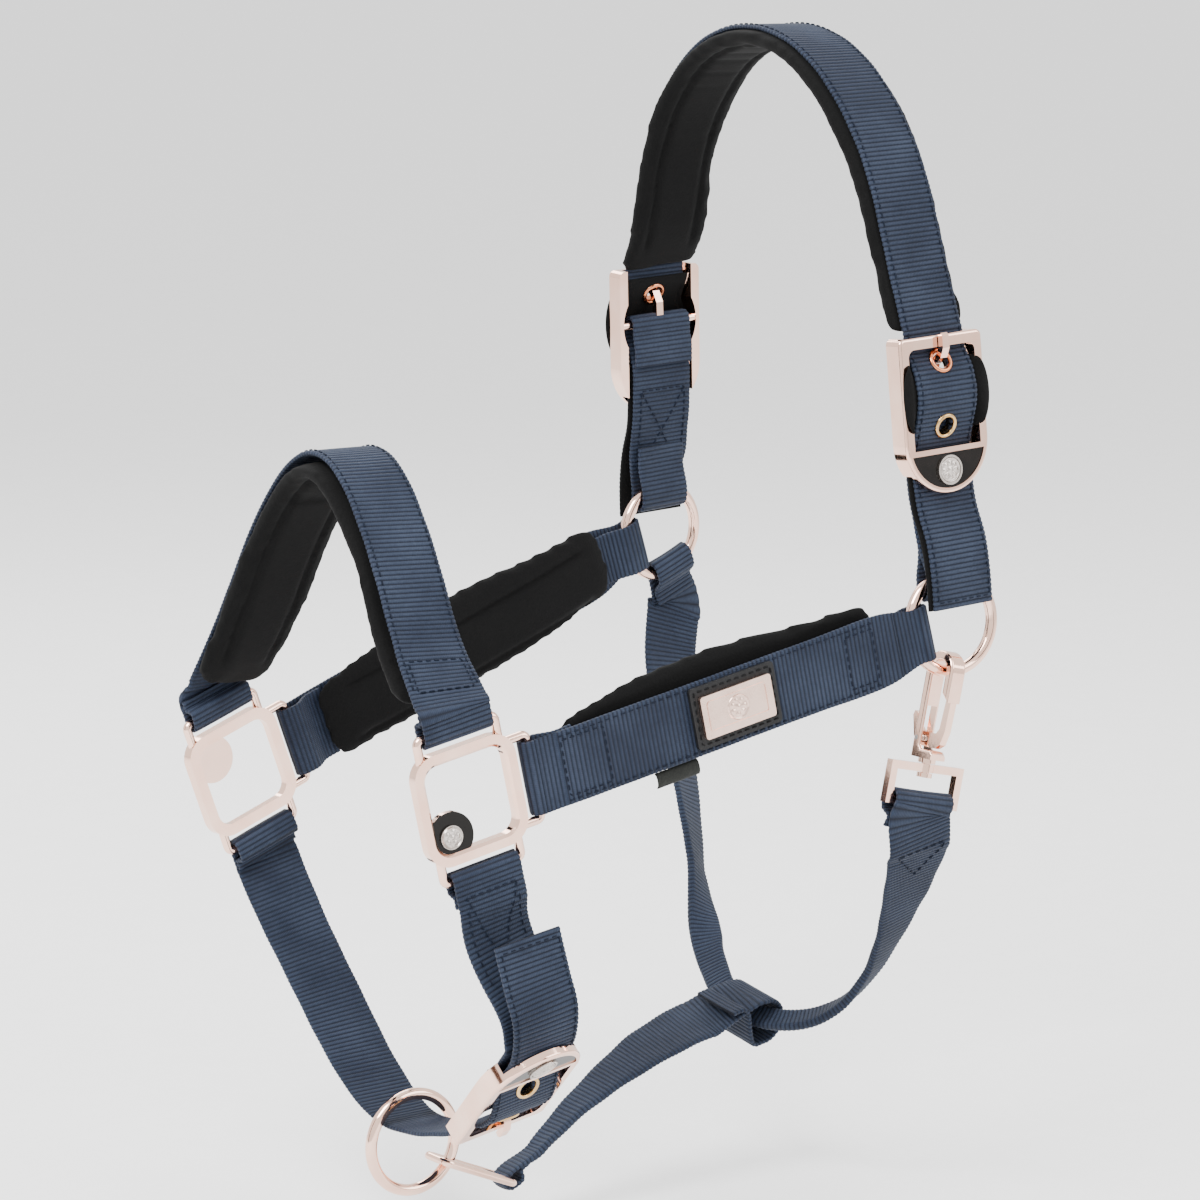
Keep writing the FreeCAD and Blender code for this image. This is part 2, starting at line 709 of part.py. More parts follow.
def crown_stations():
    """The crown strap's middle from the near side over the poll to the far side, without its tails."""
    back = Vec(1, 0, 0)
    near, far = crown_frame("near"), crown_frame("far")
    width = SIZES["web_width"]
    points = [near.at(0, 21.0, 1.2)] + [hang("near", y, z) for y, z in CROWN_ARCH] + [Vec(0, 0, SEAT_RISE)]
    points += [hang("far", y, z) for y, z in reversed(CROWN_ARCH)] + [far.at(0, 21.0, 1.2)]
    return smooth([(point, back, width, WEB) for point in points], 37)


def reversed_run(frame, run, width, thickness=WEB):
    """Stations down the far side; its frame's x points forwards, so the across vector is turned."""
    return [(frame.at(0, y, z), -frame.x, width, thickness) for y, z in reversed(run)]


def resized(stations, width, thickness):
    return [(point, across, width, thickness) for point, across, _, _ in stations]


def build_crown():
    near, far = crown_frame("near"), crown_frame("far")
    arch = crown_stations()
    marks = [LOWER_EYELET, UPPER_EYELET]
    run = TAIL_RUN + BUCKLE_RUN[:-1]
    width = SIZES["web_width"]
    web = band(along_run(near, run, width) + arch + reversed_run(far, run, width))
    for frame in (near, far):
        web = strap_punches(web, frame, marks)
    soft("crown_webbing", web)
    thick = SIZES["pad_thick"]
    cushion = resized(arch, SIZES["pad_width"], thick)
    for end, frame in ((0, near), (-1, far)):
        cushion[end] = (frame.at(0, 21.8, 1.2), cushion[end][1], SIZES["lining_width"], thick * 0.6)
    soft("crown_pad", band(cushion, -(WEB / 2 + 0.1 + thick / 2)))
    lining_drop = -(WEB / 2 + 0.1 + SIZES["lining_thick"] / 2)
    for side, frame in (("near", near), ("far", far)):
        lined_run = TAIL_RUN + BUCKLE_RUN[:-2] + [(16.6, 1.2)]
        stations = along_run(frame, lined_run, SIZES["lining_width"], SIZES["lining_thick"])
        lining = strap_punches(band(stations, lining_drop), frame, marks)
        soft(side + "_tail_lining", lining)
        strap_eyelets(side + "_crown_eyelets", frame, marks)
        build_lower_strap(side, frame)


RING_GRIP_TOP = 12.0


def build_lower_strap(side, frame):
    """The short strap from the cheek ring up to the buckle's pivot bar, sewn back at both ends."""
    width = SIZES["web_width"]
    pivot_end = bent_fold(frame.origin, -frame.y, frame.z, frame.x, SIZES["pivot_radius"], width, 15.0, -1.9)
    ring_bar = frame.at(0, RING_GRIP_TOP - PIVOT_RISE, 0)
    axis = ring_axis(side)
    ring_across = square_to(frame.x, axis)
    ring_end = bent_fold(ring_bar, frame.y, axis, ring_across, SIZES["ring_wire"] / 2, 21.0, 20.0, 0.8)
    middle = [(-49.0, 0.8), (-40.0, -0.9), (-33.0, -1.9), (-16.0, -1.9), (-10.5, 0.3)]
    stations = list(reversed(ring_end)) + along_run(frame, middle, width) + pivot_end
    shape = band(stations)
    shape = slot_cut(shape, frame, 2.7, -6.5, 6.5, -7, 7)
    soft(side + "_lower_cheek_strap", shape)


def bent_fold(bar, towards, outward, across, wire_radius, width, tail, lay):
    """As fold, where the strap's outer layer settles at height lay above the bar."""
    stations = fold(bar, towards, outward, across, wire_radius, width, tail)
    under = lay - WEB - GAP
    for back, share in ((-2, 0.6), (-1, 1.0)):
        stations[back] = (bar + outward * under + towards * (tail * share), across, width, WEB)
    return stations


CHEEK_RING_GRIP = 12.9
SLOT_GRIP = SIZES["square_side"] / 2 + SIZES["slot_rise"]
PAD_DROP = 0.5
# The cheek pad's stations: distance from the ring's centre, reach above and below the strap, thickness.
CHEEK_PAD_RUN = [(27.5, 14.0, 8.0, 2.4), (33.0, 17.6, 11.0, 3.6), (62.0, 19.0, 14.6, 5.4),
                 (92.0, 21.5, 15.4, 5.6), (124.0, 20.0, 15.4, 5.4)]


def build_cheekpiece(side):
    """Cheek strap with its padded lining, from the cheek ring to the square ring."""
    along, up, out = cheek_frame(side)
    centre = ring_centre(side)
    length = (square_centre(side) - centre).Length
    across = up if up.cross(along).dot(out) > 0 else -up
    wire = SIZES["ring_wire"] / 2
    axis = ring_axis(side)
    ring_end = fold(centre + along * CHEEK_RING_GRIP, along, axis, square_to(across, axis), wire, 19.0, 20.0)
    slot_wire = SIZES["slot_wire"] / 2
    bar = centre + along * (length - SLOT_GRIP)
    square_end = fold(bar, -along, out, across, slot_wire, SIZES["web_width"], 16.0)
    level = wire + GAP + WEB / 2
    width = SIZES["web_width"]
    flat = (30.0, length - 60.0, length - 42.0)
    middle = [(centre + along * x + out * level, across, width, WEB) for x in flat]
    soft(side + "_cheek_webbing", band(list(reversed(ring_end)) + middle + square_end))
    lining = []
    pad_ends = [(length - 45.0, 16.0, 14.6, 4.4), (length - 35.0, 13.6, 13.6, 2.6)]
    for x, above, below, thick in CHEEK_PAD_RUN + pad_ends:
        point = centre + along * x + up * ((above - below) / 2) - out * (PAD_DROP + thick / 2)
        lining.append((point, across, above + below, thick))
    soft(side + "_cheek_pad", band(lining))


NOSE_ARCH = [(52.5, -181.0), (40.0, -160.5), (25.0, -141.0), (12.5, -130.5)]
NOSE_TOP = Vec(-174.0, 0, -126.8)


def build_noseband():
    """Noseband over the bridge of the nose, with its padded lining."""
    wire, width = SIZES["slot_wire"] / 2, SIZES["web_width"]
    ends, arch = {}, []
    for side in ("near", "far"):
        along, up, out = cheek_frame(side)
        bar = square_centre(side) + up * SLOT_GRIP
        ends[side] = fold(bar, up, out, -along, wire, width, 8.0)
        start = bar + up * 7 + out * (wire + GAP + WEB / 2)
        rise = [(start, -along, width, WEB)]
        for y, z in NOSE_ARCH:
            lean = SQUARE_X - 4.0 + 3.0 * (z - NOSE_ARCH[0][1]) / 55.0
            rise.append((Vec(lean, SIDE[side] * y, z), Vec(1, 0, 0), width, WEB))
        arch += rise if side == "near" else list(reversed(rise))
        if side == "near":
            arch.append((NOSE_TOP, Vec(1, 0, 0), width, WEB))
    curve = smooth(arch, 33)
    soft("nose_webbing", band(list(reversed(ends["near"])) + curve + ends["far"]))
    thick = SIZES["pad_thick"]
    cushion = resized(curve[1:-1], SIZES["pad_width"], thick)
    for end in (0, -1):
        cushion[end] = (cushion[end][0], cushion[end][1], SIZES["pad_width"] - 5, thick * 0.7)
    soft("nose_pad", band(cushion, -(WEB * 1.5 + GAP + 0.1 + thick / 2)))


NEAR_CHIN = [(-154.6, -80.0, -301.0), (-159.0, -76.0, -288.0), (-164.5, -72.6, -270.0)]
CHIN_TAIL = [(-160.0, -84.0, -274.0), (-157.6, -86.2, -288.0), (-155.0, -87.2, -300.0)]
FAR_CHIN = [((-147.0, -24.0, -352.4), 24.0), ((-148.8, -9.0, -354.6), 22.0), ((-149.4, 5.0, -354.4), 22.0),
            ((-150.0, 22.0, -346.5), 24.0), ((-151.5, 42.0, -328.0), 25.0), ((-156.0, 60.0, -303.0), 25.0)]
CHIN_EYELET_STATION = 6


def build_chin():
    """The two chin straps: the far one runs through the lead ring and the buckle on the near one."""
    frame = chin_frame()
    width, wire = SIZES["web_width"], SIZES["slot_wire"] / 2
    along, up, out = cheek_frame("near")
    near_bar = square_centre("near") - up * SLOT_GRIP
    near_fold = fold(near_bar, -up, out, along, wire, width, 9.0)
    pivot_end = bent_fold(frame.origin, -frame.y, frame.z, frame.x, SIZES["pivot_radius"], width, 15.0, -1.9)
    lower = along_run(frame, [(-31.0, -2.6), (-24.0, -2.2), (-16.0, -1.9), (-10.5, 0.3)], width)
    climb = [(Vec(*place), frame.x, width, WEB) for place in reversed(NEAR_CHIN)]
    leaving = (near_bar - up * 11.5 + out * (wire + GAP + WEB / 2), along, width, WEB)
    climb = smooth([leaving] + climb + [lower[0]], 25)
    near_strap = band(list(reversed(near_fold)) + climb + lower[1:] + pivot_end)
    soft("near_chin_strap", slot_cut(near_strap, frame, 2.7, -6.5, 6.5, -7, 7))

    tail = [(Vec(*place), frame.x, width, WEB) for place in CHIN_TAIL]
    passing = along_run(frame, BUCKLE_RUN, width)
    route = [(Vec(*place), Vec(-1, 0, 0), wide, WEB) for place, wide in FAR_CHIN]
    along, up, out = cheek_frame("far")
    far_bar = square_centre("far") - up * SLOT_GRIP
    far_fold = fold(far_bar, -up, out, along, wire, width, 8.0)
    last = (far_bar - up * 9 + out * (wire + GAP + WEB / 2), along, width, WEB)
    sweep = smooth([passing[-1]] + route + [last], 51)
    before, here, after = sweep[CHIN_EYELET_STATION - 1:CHIN_EYELET_STATION + 2]
    place = Frame(here[0], here[1], after[0] - before[0])
    strap = band(tail + passing[:-1] + sweep + far_fold)
    strap = strap_punches(strap, frame, [LOWER_EYELET, UPPER_EYELET], [place])
    soft("far_chin_strap", strap)
    surface = Frame(place.origin + place.z * (WEB / 2), place.x, place.y)
    strap_eyelets("chin_eyelets", frame, [LOWER_EYELET, UPPER_EYELET], [surface])


JUNCTION = Vec(-11.0, -2.0, -337.0)
JUNCTION_CORE = 6.8
THROAT_ROUTE = [
    ((16.5, 83.0, -226.0), (1.0, 0.1, 0.0), 24.0, 1.8),
    ((16.0, 75.0, -262.0), (0.85, 0.5, 0.0), 21.0, 2.2),
    ((9.0, 56.0, -297.0), (0.7, 0.7, 0.1), 15.0, 3.0),
    ((-4.0, 30.0, -323.0), (0.6, 0.3, 0.6), 11.0, 3.4),
    ((-11.0, -2.0, -337.0), (0.8, 0.0, 0.6), 8.6, 3.6),
    ((1.0, -27.0, -335.0), (0.8, 0.2, 0.5), 9.0, 3.6),
    ((11.0, -45.0, -316.0), (0.9, 0.3, 0.2), 12.0, 3.0),
    ((9.0, -64.0, -287.0), (1.0, 0.1, 0.0), 20.0, 2.0),
    ((2.2, -80.8, -266.0), (1.0, 0.0, 0.0), 24.6, 1.6),
]
JAW_ROUTE = [
    ((-30.0, -0.5, -337.0), (-0.12, -0.92, -0.3), 23.0, 1.8),
    ((-55.0, 0.0, -345.0), (0.0, -0.95, -0.3), 19.0, 2.2),
    ((-82.0, -0.5, -359.0), (0.0, -0.98, -0.2), 12.0, 3.0),
    ((-101.0, -1.0, -373.0), (0.0, -1.0, 0.0), 8.6, 3.2),
]


def build_throat():
    """The throat strap from the far cheek ring under the jaw to the snap, and the jaw strap sewn round it."""
    centre, wire = ring_centre("far"), SIZES["ring_wire"] / 2
    axis = ring_axis("far")
    down = square_to(Vec(0.375, 0, -0.927), axis)
    across = square_to(Vec(0.927, 0, 0.375), axis)
    start = fold(centre + down * 13.4, down, axis, across, wire, 17.5, 14.0)
    frame = snap_frame()
    eye_bar = frame.at(-1.2, -31.8 - SIZES["eye_height"] + SIZES["eye_bar"] / 2)
    clear = SIZES["eye_bar"] / 2 + 0.65
    end = fold(eye_bar, Vec(0.1, 0.25, -0.96), Vec(0, -1, 0), -frame.z, clear, 25.0, 9.5)
    route = [(Vec(*place), Vec(*turn), wide, thick) for place, turn, wide, thick in THROAT_ROUTE]
    flat_start = (centre + down * 30 + axis * (wire + GAP + WEB / 2), across, 22.0, WEB)
    strap = smooth([flat_start] + route, 110)
    soft("throat_strap", band(list(reversed(start)) + strap + end))

    first, last = Vec(*JAW_ROUTE[0][0]), Vec(*JAW_ROUTE[-1][0])
    rising = Vec(0, 0, 1)
    grip = fold(JUNCTION, first - JUNCTION, rising, Vec(0.09, -0.975, -0.2), JUNCTION_CORE, 20.0, 16.0)
    hold = fold(LINK_END, last - LINK_END, rising, Vec(0, -1, 0), SIZES["link_wire"] / 2, 8.6, 9.0)
    route = [(Vec(*place), Vec(*turn), wide, thick) for place, turn, wide, thick in JAW_ROUTE]
    soft("jaw_strap", band(list(reversed(grip)) + smooth(route, 32) + hold))


# ---------------------------------------------------------------- trim on the near cheekpiece
def build_trim():
    """Stitched patch, name plate and folded size label."""
    along, up, out = cheek_frame("near")
    centre = ring_centre("near")
    surface = SIZES["ring_wire"] / 2 + GAP + WEB
    across = Frame(centre, -along, up)
    for label, x, y, height, length, width, thick, corner in (
            ("name_patch", 91.0, 0.5, 0.1, 33.0, 21.0, 1.4, 1.5),
            ("name_plate", 91.0, 0.5, 1.6, 27.5, 14.5, 1.4, 1.0)):
        body = new_body(label, Frame(across.at(-x, y, surface + height), -along, up))
        outline = new_sketch(body, "XY_Plane")
        draw_rectangle(outline, -length / 2, -width / 2, length / 2, width / 2)
        slab = pad(body, outline, thick)
        doc.recompute()
        half_x, half_y = length / 2, width / 2
        upright = edges_where(slab, lambda p: abs(abs(p.x) - half_x) < 0.01 and abs(abs(p.y) - half_y) < 0.01)
        fillet(body, slab, upright, corner)
    tag = doc.addObject("Part::Box", "size_label")
    tag.Length, tag.Width, tag.Height = 17.0, 5.6, 2.0
    keep(tag, "size_label")
    tag.Placement = Frame(across.at(-115.0 - 8.5, -18.4, surface - 2.6), -along, up).placement()


# ---------------------------------------------------------------- the whole collar
for side in ("near", "far"):
    build_square(side)
    build_badge(side)
    build_ring(side + "_cheek_ring", ring_centre(side), ring_axis(side))
    build_buckle(side + "_crown", crown_frame(side))
    build_cheekpiece(side)
build_ring("lead_ring", LEAD_RING, Vec(0, 1, 0))
build_link()
build_buckle("chin", chin_frame())
build_crown()
build_noseband()
build_chin()
build_throat()
build_snap()
build_trim()
doc.recompute()

problems = [item.Label for item in doc.Objects if "Invalid" in item.State or "Error" in item.State]
for item in sub_parts:
    if item.Shape.isNull() or not item.Shape.isValid() or not item.Shape.Solids:
        problems.append(item.Label + " has no sound solid")
if problems:
    raise SystemExit("not built: " + ", ".join(problems))

os.makedirs("parts", exist_ok=True)
for item in sub_parts:
    item.Shape.exportStep(os.path.join("parts", item.Label + ".step"))
print(len(sub_parts), "sub-parts written")
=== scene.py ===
"""Looks of a horse head collar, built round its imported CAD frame.

Ribbed webbing, padded linings, stitching and polished hardware.
Places are in millimetres, in the frame's axes.
"""
import json
import math

import bmesh
import bpy
import numpy as np
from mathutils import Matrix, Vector


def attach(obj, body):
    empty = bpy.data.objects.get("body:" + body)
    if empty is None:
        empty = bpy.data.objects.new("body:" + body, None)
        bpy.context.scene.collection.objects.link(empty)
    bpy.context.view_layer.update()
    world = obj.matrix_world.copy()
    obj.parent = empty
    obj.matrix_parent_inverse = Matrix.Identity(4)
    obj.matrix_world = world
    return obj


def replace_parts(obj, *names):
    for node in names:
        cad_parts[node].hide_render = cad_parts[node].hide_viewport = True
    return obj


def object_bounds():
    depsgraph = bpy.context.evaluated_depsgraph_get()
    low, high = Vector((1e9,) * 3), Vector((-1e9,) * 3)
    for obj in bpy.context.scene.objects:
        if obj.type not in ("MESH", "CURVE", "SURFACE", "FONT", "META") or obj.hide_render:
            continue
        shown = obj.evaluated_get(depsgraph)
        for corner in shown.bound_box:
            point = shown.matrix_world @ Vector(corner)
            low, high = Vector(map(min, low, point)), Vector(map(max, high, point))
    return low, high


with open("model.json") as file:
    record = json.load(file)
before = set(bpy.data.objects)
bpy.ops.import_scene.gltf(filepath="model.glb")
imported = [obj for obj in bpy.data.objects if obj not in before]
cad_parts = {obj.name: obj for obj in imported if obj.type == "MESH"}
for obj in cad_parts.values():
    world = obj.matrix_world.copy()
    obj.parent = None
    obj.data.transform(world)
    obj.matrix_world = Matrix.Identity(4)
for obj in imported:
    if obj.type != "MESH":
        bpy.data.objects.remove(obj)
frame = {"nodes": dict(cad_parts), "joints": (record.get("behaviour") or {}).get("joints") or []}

cad_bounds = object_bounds()
MM = 0.001

# ---- sizes
WEB_WIDTH, WEB_THICK = 25.0, 1.6
RIB_PITCH, RIB_DEPTH = 1.6, 0.34
GAP = 0.3
LAYER_STEP = 0.8
RING_WIRE, PIVOT_WIRE, SLOT_WIRE, LINK_WIRE = 2.0, 1.7, 1.5, 1.4
PAD_WIDTH, PAD_THICK = 34.0, 6.0
LINING_WIDTH, LINING_THICK = 27.0, 1.2
HALF_WEB = WEB_THICK / 2
RING_LEVEL, SLOT_LEVEL = RING_WIRE + GAP + HALF_WEB, SLOT_WIRE + GAP + HALF_WEB
SLOT_GRIP = 24.0
PIVOT_RISE = 77.0
SQUARES = {"near": (-173.0, -71.0, -230.4), "far": (-173.0, 71.0, -244.2)}
SIDE = {"near": -1.0, "far": 1.0}


# ---- vectors and places
def vec(*numbers):
    return np.array(numbers, float)


def unit(vector):
    return vector / np.linalg.norm(vector)


def square_to(vector, axis):
    """The part of vector at right angles to the unit axis, made a unit vector."""
    return unit(vector - axis * np.dot(vector, axis))


class Place:
    """A local frame with an origin and three unit axes, the third pointing outwards."""

    def __init__(self, origin, x_axis, y_axis):
        self.origin = np.array(origin, float)
        self.x = unit(x_axis)
        self.y = square_to(y_axis, self.x)
        self.z = np.cross(self.x, self.y)

    def at(self, x, y, z=0.0):
        return self.origin + self.x * x + self.y * y + self.z * z


JOINTS = {joint["name"]: joint for joint in frame["joints"]}


def joint_place(name):
    """Where a joint of the frame lies, and its axis."""
    joint = JOINTS[name]
    return np.array(joint.get("pos_m", (0, 0, 0)), float) / MM, unit(np.array(joint["axis"], float))


RING_CENTRE, RING_AXIS, BUCKLE = {}, {}, {}
for side in SIDE:
    RING_CENTRE[side], RING_AXIS[side] = joint_place(side + "_ring_turn")
    pivot, pivot_axis = joint_place(side + "_crown_tongue_tilt")
    BUCKLE[side] = Place(pivot, pivot_axis, pivot - RING_CENTRE[side])
pivot, pivot_axis = joint_place("chin_tongue_tilt")
BUCKLE["chin"] = Place(pivot, pivot_axis, vec(0.13, 0.76, -0.64))
LINK_END, _ = joint_place("link_swing")
_, SNAP_SIDE = joint_place("trigger_pull")
SNAP_FOOT, SNAP_UP = joint_place("hook_swivel")


def cheek_axes(side):
    """Along the cheekpiece from the ring to the square, up across it, and out from the head."""
    along = unit(np.array(SQUARES[side]) - RING_CENTRE[side])
    out = square_to(vec(0, SIDE[side], 0), along)
    up = square_to(square_to(vec(0, 0, 1), along), out)
    return along, up, out


# ---- routes of straps
def station_rows(stations):
    return np.array([np.concatenate([p, a, (w, t)]) for p, a, w, t in stations])


def run_lengths(points, power=1.0):
    """How far each point lies along the run, leg by leg; a power below 1 shortens long legs."""
    return np.concatenate([[0], np.cumsum(np.linalg.norm(np.diff(points, axis=0), axis=1) ** power)])


def web(point, across):
    """A station of plain webbing."""
    return point, across, WEB_WIDTH, WEB_THICK


def placed(rows):
    return [(vec(*spot), vec(*turn), wide, thick) for spot, turn, wide, thick in rows]


class Route:
    """A smooth path through stations of (point, across, width, thickness), sampled evenly along it."""

    def __init__(self, stations, step):
        rows = self._curve(station_rows(stations))
        lengths = run_lengths(rows[:, :3])
        self.length = lengths[-1]
        self.v = np.linspace(0, self.length, max(int(round(self.length / step)), 2) + 1)
        rows = np.stack([np.interp(self.v, lengths, rows[:, k]) for k in range(8)], axis=1)
        self.point = rows[:, :3]
        tangent = np.gradient(self.point, axis=0)
        self.tangent = tangent / np.linalg.norm(tangent, axis=1)[:, None]
        across = rows[:, 3:6] - self.tangent * np.sum(rows[:, 3:6] * self.tangent, axis=1)[:, None]
        self.across = across / np.linalg.norm(across, axis=1)[:, None]
        self.normal = np.cross(self.across, self.tangent)
        self.width, self.thick = rows[:, 6], rows[:, 7]

    @staticmethod
    def _curve(rows, share=12):
        """Centripetal Catmull-Rom through the rows' places, carrying the other columns along."""
        rows = np.concatenate([[2 * rows[0] - rows[1]], rows, [2 * rows[-1] - rows[-2]]])
        knots = run_lengths(rows[:, :3], 0.5)

        def blend(first, second, low, high, t):
            return first * (high - t) / (high - low) + second * (t - low) / (high - low)

        out = []
        for i in range(1, len(rows) - 2):
            t0, t1, t2, t3 = knots[i - 1:i + 3]
            for t in np.linspace(t1, t2, share, endpoint=False):
                a1 = blend(rows[i - 1], rows[i], t0, t1, t)
                a2 = blend(rows[i], rows[i + 1], t1, t2, t)
                a3 = blend(rows[i + 1], rows[i + 2], t2, t3, t)
                out.append(blend(blend(a1, a2, t0, t2, t), blend(a2, a3, t1, t3, t), t1, t2, t))
        out.append(rows[-2])
        return np.array(out)

    def at(self, u, v, w):
        """Points at u across, v along and w above the path; all three may be arrays."""
        u, v, w = np.broadcast_arrays(np.asarray(u, float), np.asarray(v, float), np.asarray(w, float))
        def read(rows):
            return np.stack([np.interp(v, self.v, rows[:, k]) for k in range(3)], axis=-1)
        return read(self.point) + read(self.across) * u[..., None] + read(self.normal) * w[..., None]

    def locate(self, points):
        """For each point, its u across, v along and w above the path, by the nearest sample."""
        nearest = np.empty(len(points), int)
        for start in range(0, len(points), 4000):
            block = points[start:start + 4000]
            apart = np.linalg.norm(block[:, None, :] - self.point[None, ::3, :], axis=2)
            nearest[start:start + 4000] = np.argmin(apart, axis=1) * 3
        nearest = np.minimum(nearest, len(self.point) - 1)
        offset = points - self.point[nearest]
        u = np.sum(offset * self.across[nearest], axis=1)
        w = np.sum(offset * self.normal[nearest], axis=1)
        v = self.v[nearest] + np.sum(offset * self.tangent[nearest], axis=1)
        return u, v, w

    def mark(self, point):
        """How far along the path one point lies."""
        return float(self.locate(np.asarray(point)[None, :])[1][0])


def fold(bar, towards, outward, across, wire, width, tail, lay=None, steps=6):
    """Stations from the outer layer round a bar and back under it, as in the frame's own straps."""
    across = unit(across)
    towards = square_to(towards, across)
    outward = square_to(square_to(outward, across), towards)
    radius = wire + GAP + HALF_WEB

    def layer(height, reach):
        return bar + outward * height + towards * reach, across, width, WEB_THICK

    stations = [layer(radius, 4)]
    for turn in (math.pi * step / steps for step in range(steps + 1)):
        stations.append(layer(radius * math.cos(turn), -radius * math.sin(turn)))
    under = (radius if lay is None else lay) - WEB_THICK - GAP
    return stations + [layer(-radius, 4), layer(under, tail * 0.6), layer(under, tail)]


# ---- meshes
def new_object(name, verts, faces, material, body, smooth_angle=50.0, uvs=None):
    """A mesh object from millimetre vertices; uvs are a pair per vertex, millimetres across and along."""
    mesh = bpy.data.meshes.new(name)
    mesh.from_pydata((np.asarray(verts) * MM).tolist(), [], faces)
    mesh.update()
    if uvs is not None:
        layer = mesh.uv_layers.new(name="weave")
        corner = np.empty(len(mesh.loops), np.int32)
        mesh.loops.foreach_get("vertex_index", corner)
        layer.data.foreach_set("uv", (np.asarray(uvs)[corner] * 0.1).astype(np.float32).ravel())
    item = add_object(name, mesh)
    mesh.materials.append(material)
    mesh.polygons.foreach_set("use_smooth", np.ones(len(mesh.polygons), bool))
    mesh.set_sharp_from_angle(angle=math.radians(smooth_angle))
    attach(item, body)
    return item


def add_object(name, data):
    item = bpy.data.objects.new(name, data)
    bpy.context.scene.collection.objects.link(item)
    return item


def loft(rings):
    """Quads between rings of equally many vertices, with a cap on each end."""
    count, size = rings.shape[:2]
    index = np.arange(count * size).reshape(count, size)
    here, there = index[:-1], index[1:]
    quads = np.stack([here, np.roll(here, -1, 1), np.roll(there, -1, 1), there], axis=-1).reshape(-1, 4)
    faces = quads.tolist() + [index[0][::-1].tolist(), index[-1].tolist()]
    return rings.reshape(-1, 3), faces


def band_profile(across_steps):
    """A flat band's outline, going round once: shares of half width and half thickness, and edge share."""
    top = np.linspace(-1, 1, across_steps)
    turns = [math.radians(angle) for angle in (50, 0, -50)]
    outline = [(u, 1.0, 0.0) for u in top] + [(1.0, math.sin(a), math.cos(a)) for a in turns]
    outline += [(u, -1.0, 0.0) for u in top[::-1]]
    outline += [(-1.0, math.sin(a), math.cos(a)) for a in reversed(turns)]
    return np.array(outline)


def band_faces(start, rows, size):
    """Quads between rows of size vertices each, going round."""
    faces = []
    for row in range(rows):
        for k in range(size):
            a, b = start + row * size + k, start + row * size + (k + 1) % size
            faces.append((a, b, b + size, a + size))
    return faces


def strap(name, route, material, node, rib_depth=RIB_DEPTH, holes=(), wobble=0.12, sunk=()):
    """A ribbed band along a route.

    holes are (v, radius) in its middle, and sunk are (from, to) spans without a top layer.
    """
    profile = band_profile(11)
    half = (route.width / 2)[:, None]
    lift = (route.thick / 2)[:, None]
    crest = np.abs(np.sin(math.pi * route.v / RIB_PITCH))[:, None] ** 0.8
    depth = rib_depth * (1 - crest)
    edge = profile[None, :, 2]
    flat = np.maximum(lift - depth, 0.2)
    side = np.sign(profile[:, 0])[None, :]
    waver = wobble * np.sin(route.v * 0.11 + len(name))[:, None]
    waver = waver + 0.5 * wobble * np.sin(route.v * 0.37)[:, None]
    inner = half - lift * 0.7
    u = profile[None, :, 0] * inner + side * edge * (lift * 0.7 - depth * 0.6) + waver * 0.6
    bare = np.zeros(len(route.v))
    for low, high in sunk:
        bare[(route.v >= low) & (route.v <= high)] = LAYER_STEP
    flat = flat - bare[:, None] * (profile[None, :, 1] > 0)
    ripple = waver * (profile[None, :, 0] ** 2) * 0.8
    w = profile[None, :, 1] * flat + ripple * (rib_depth > 0)
    rings = (route.point[:, None, :] + route.across[:, None, :] * u[..., None]
             + route.normal[:, None, :] * w[..., None])
    verts, faces = loft(rings)
    flip = np.where(profile[None, :, 1] < 0, half * 2 - u, u)
    uvs = np.stack([flip, np.broadcast_to(route.v[:, None], flip.shape)], axis=-1).reshape(-1, 2)
    item = new_object(name, verts, faces, material, "root", uvs=uvs)
    for v, radius in holes:
        open_hole(item, route, v, radius)
    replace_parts(item, node)


def open_hole(item, route, v, radius):
    """Cuts a round hole through a band at v along its route and joins its two faces round the rim."""
    middle = route.at(0.0, v, 0.0) * MM
    axis = unit(np.array([np.interp(v, route.v, route.normal[:, k]) for k in range(3)]))
    cut = bmesh.new()
    cut.from_mesh(item.data)
    gone = []
    for face in cut.faces:
        offset = np.array(face.calc_center_median()) - middle
        height = float(np.dot(offset, axis))
        if abs(height) < 2.5 * MM and np.linalg.norm(offset - axis * height) < radius * MM:
            gone.append(face)
    bmesh.ops.delete(cut, geom=gone, context="FACES")
    rim = [edge for edge in cut.edges if edge.is_boundary]
    if rim:
        bmesh.ops.bridge_loops(cut, edges=rim)
    cut.to_mesh(item.data)
    cut.free()


STITCH_LENGTH, STITCH_PITCH, STITCH_RADIUS = 2.1, 2.9, 0.27


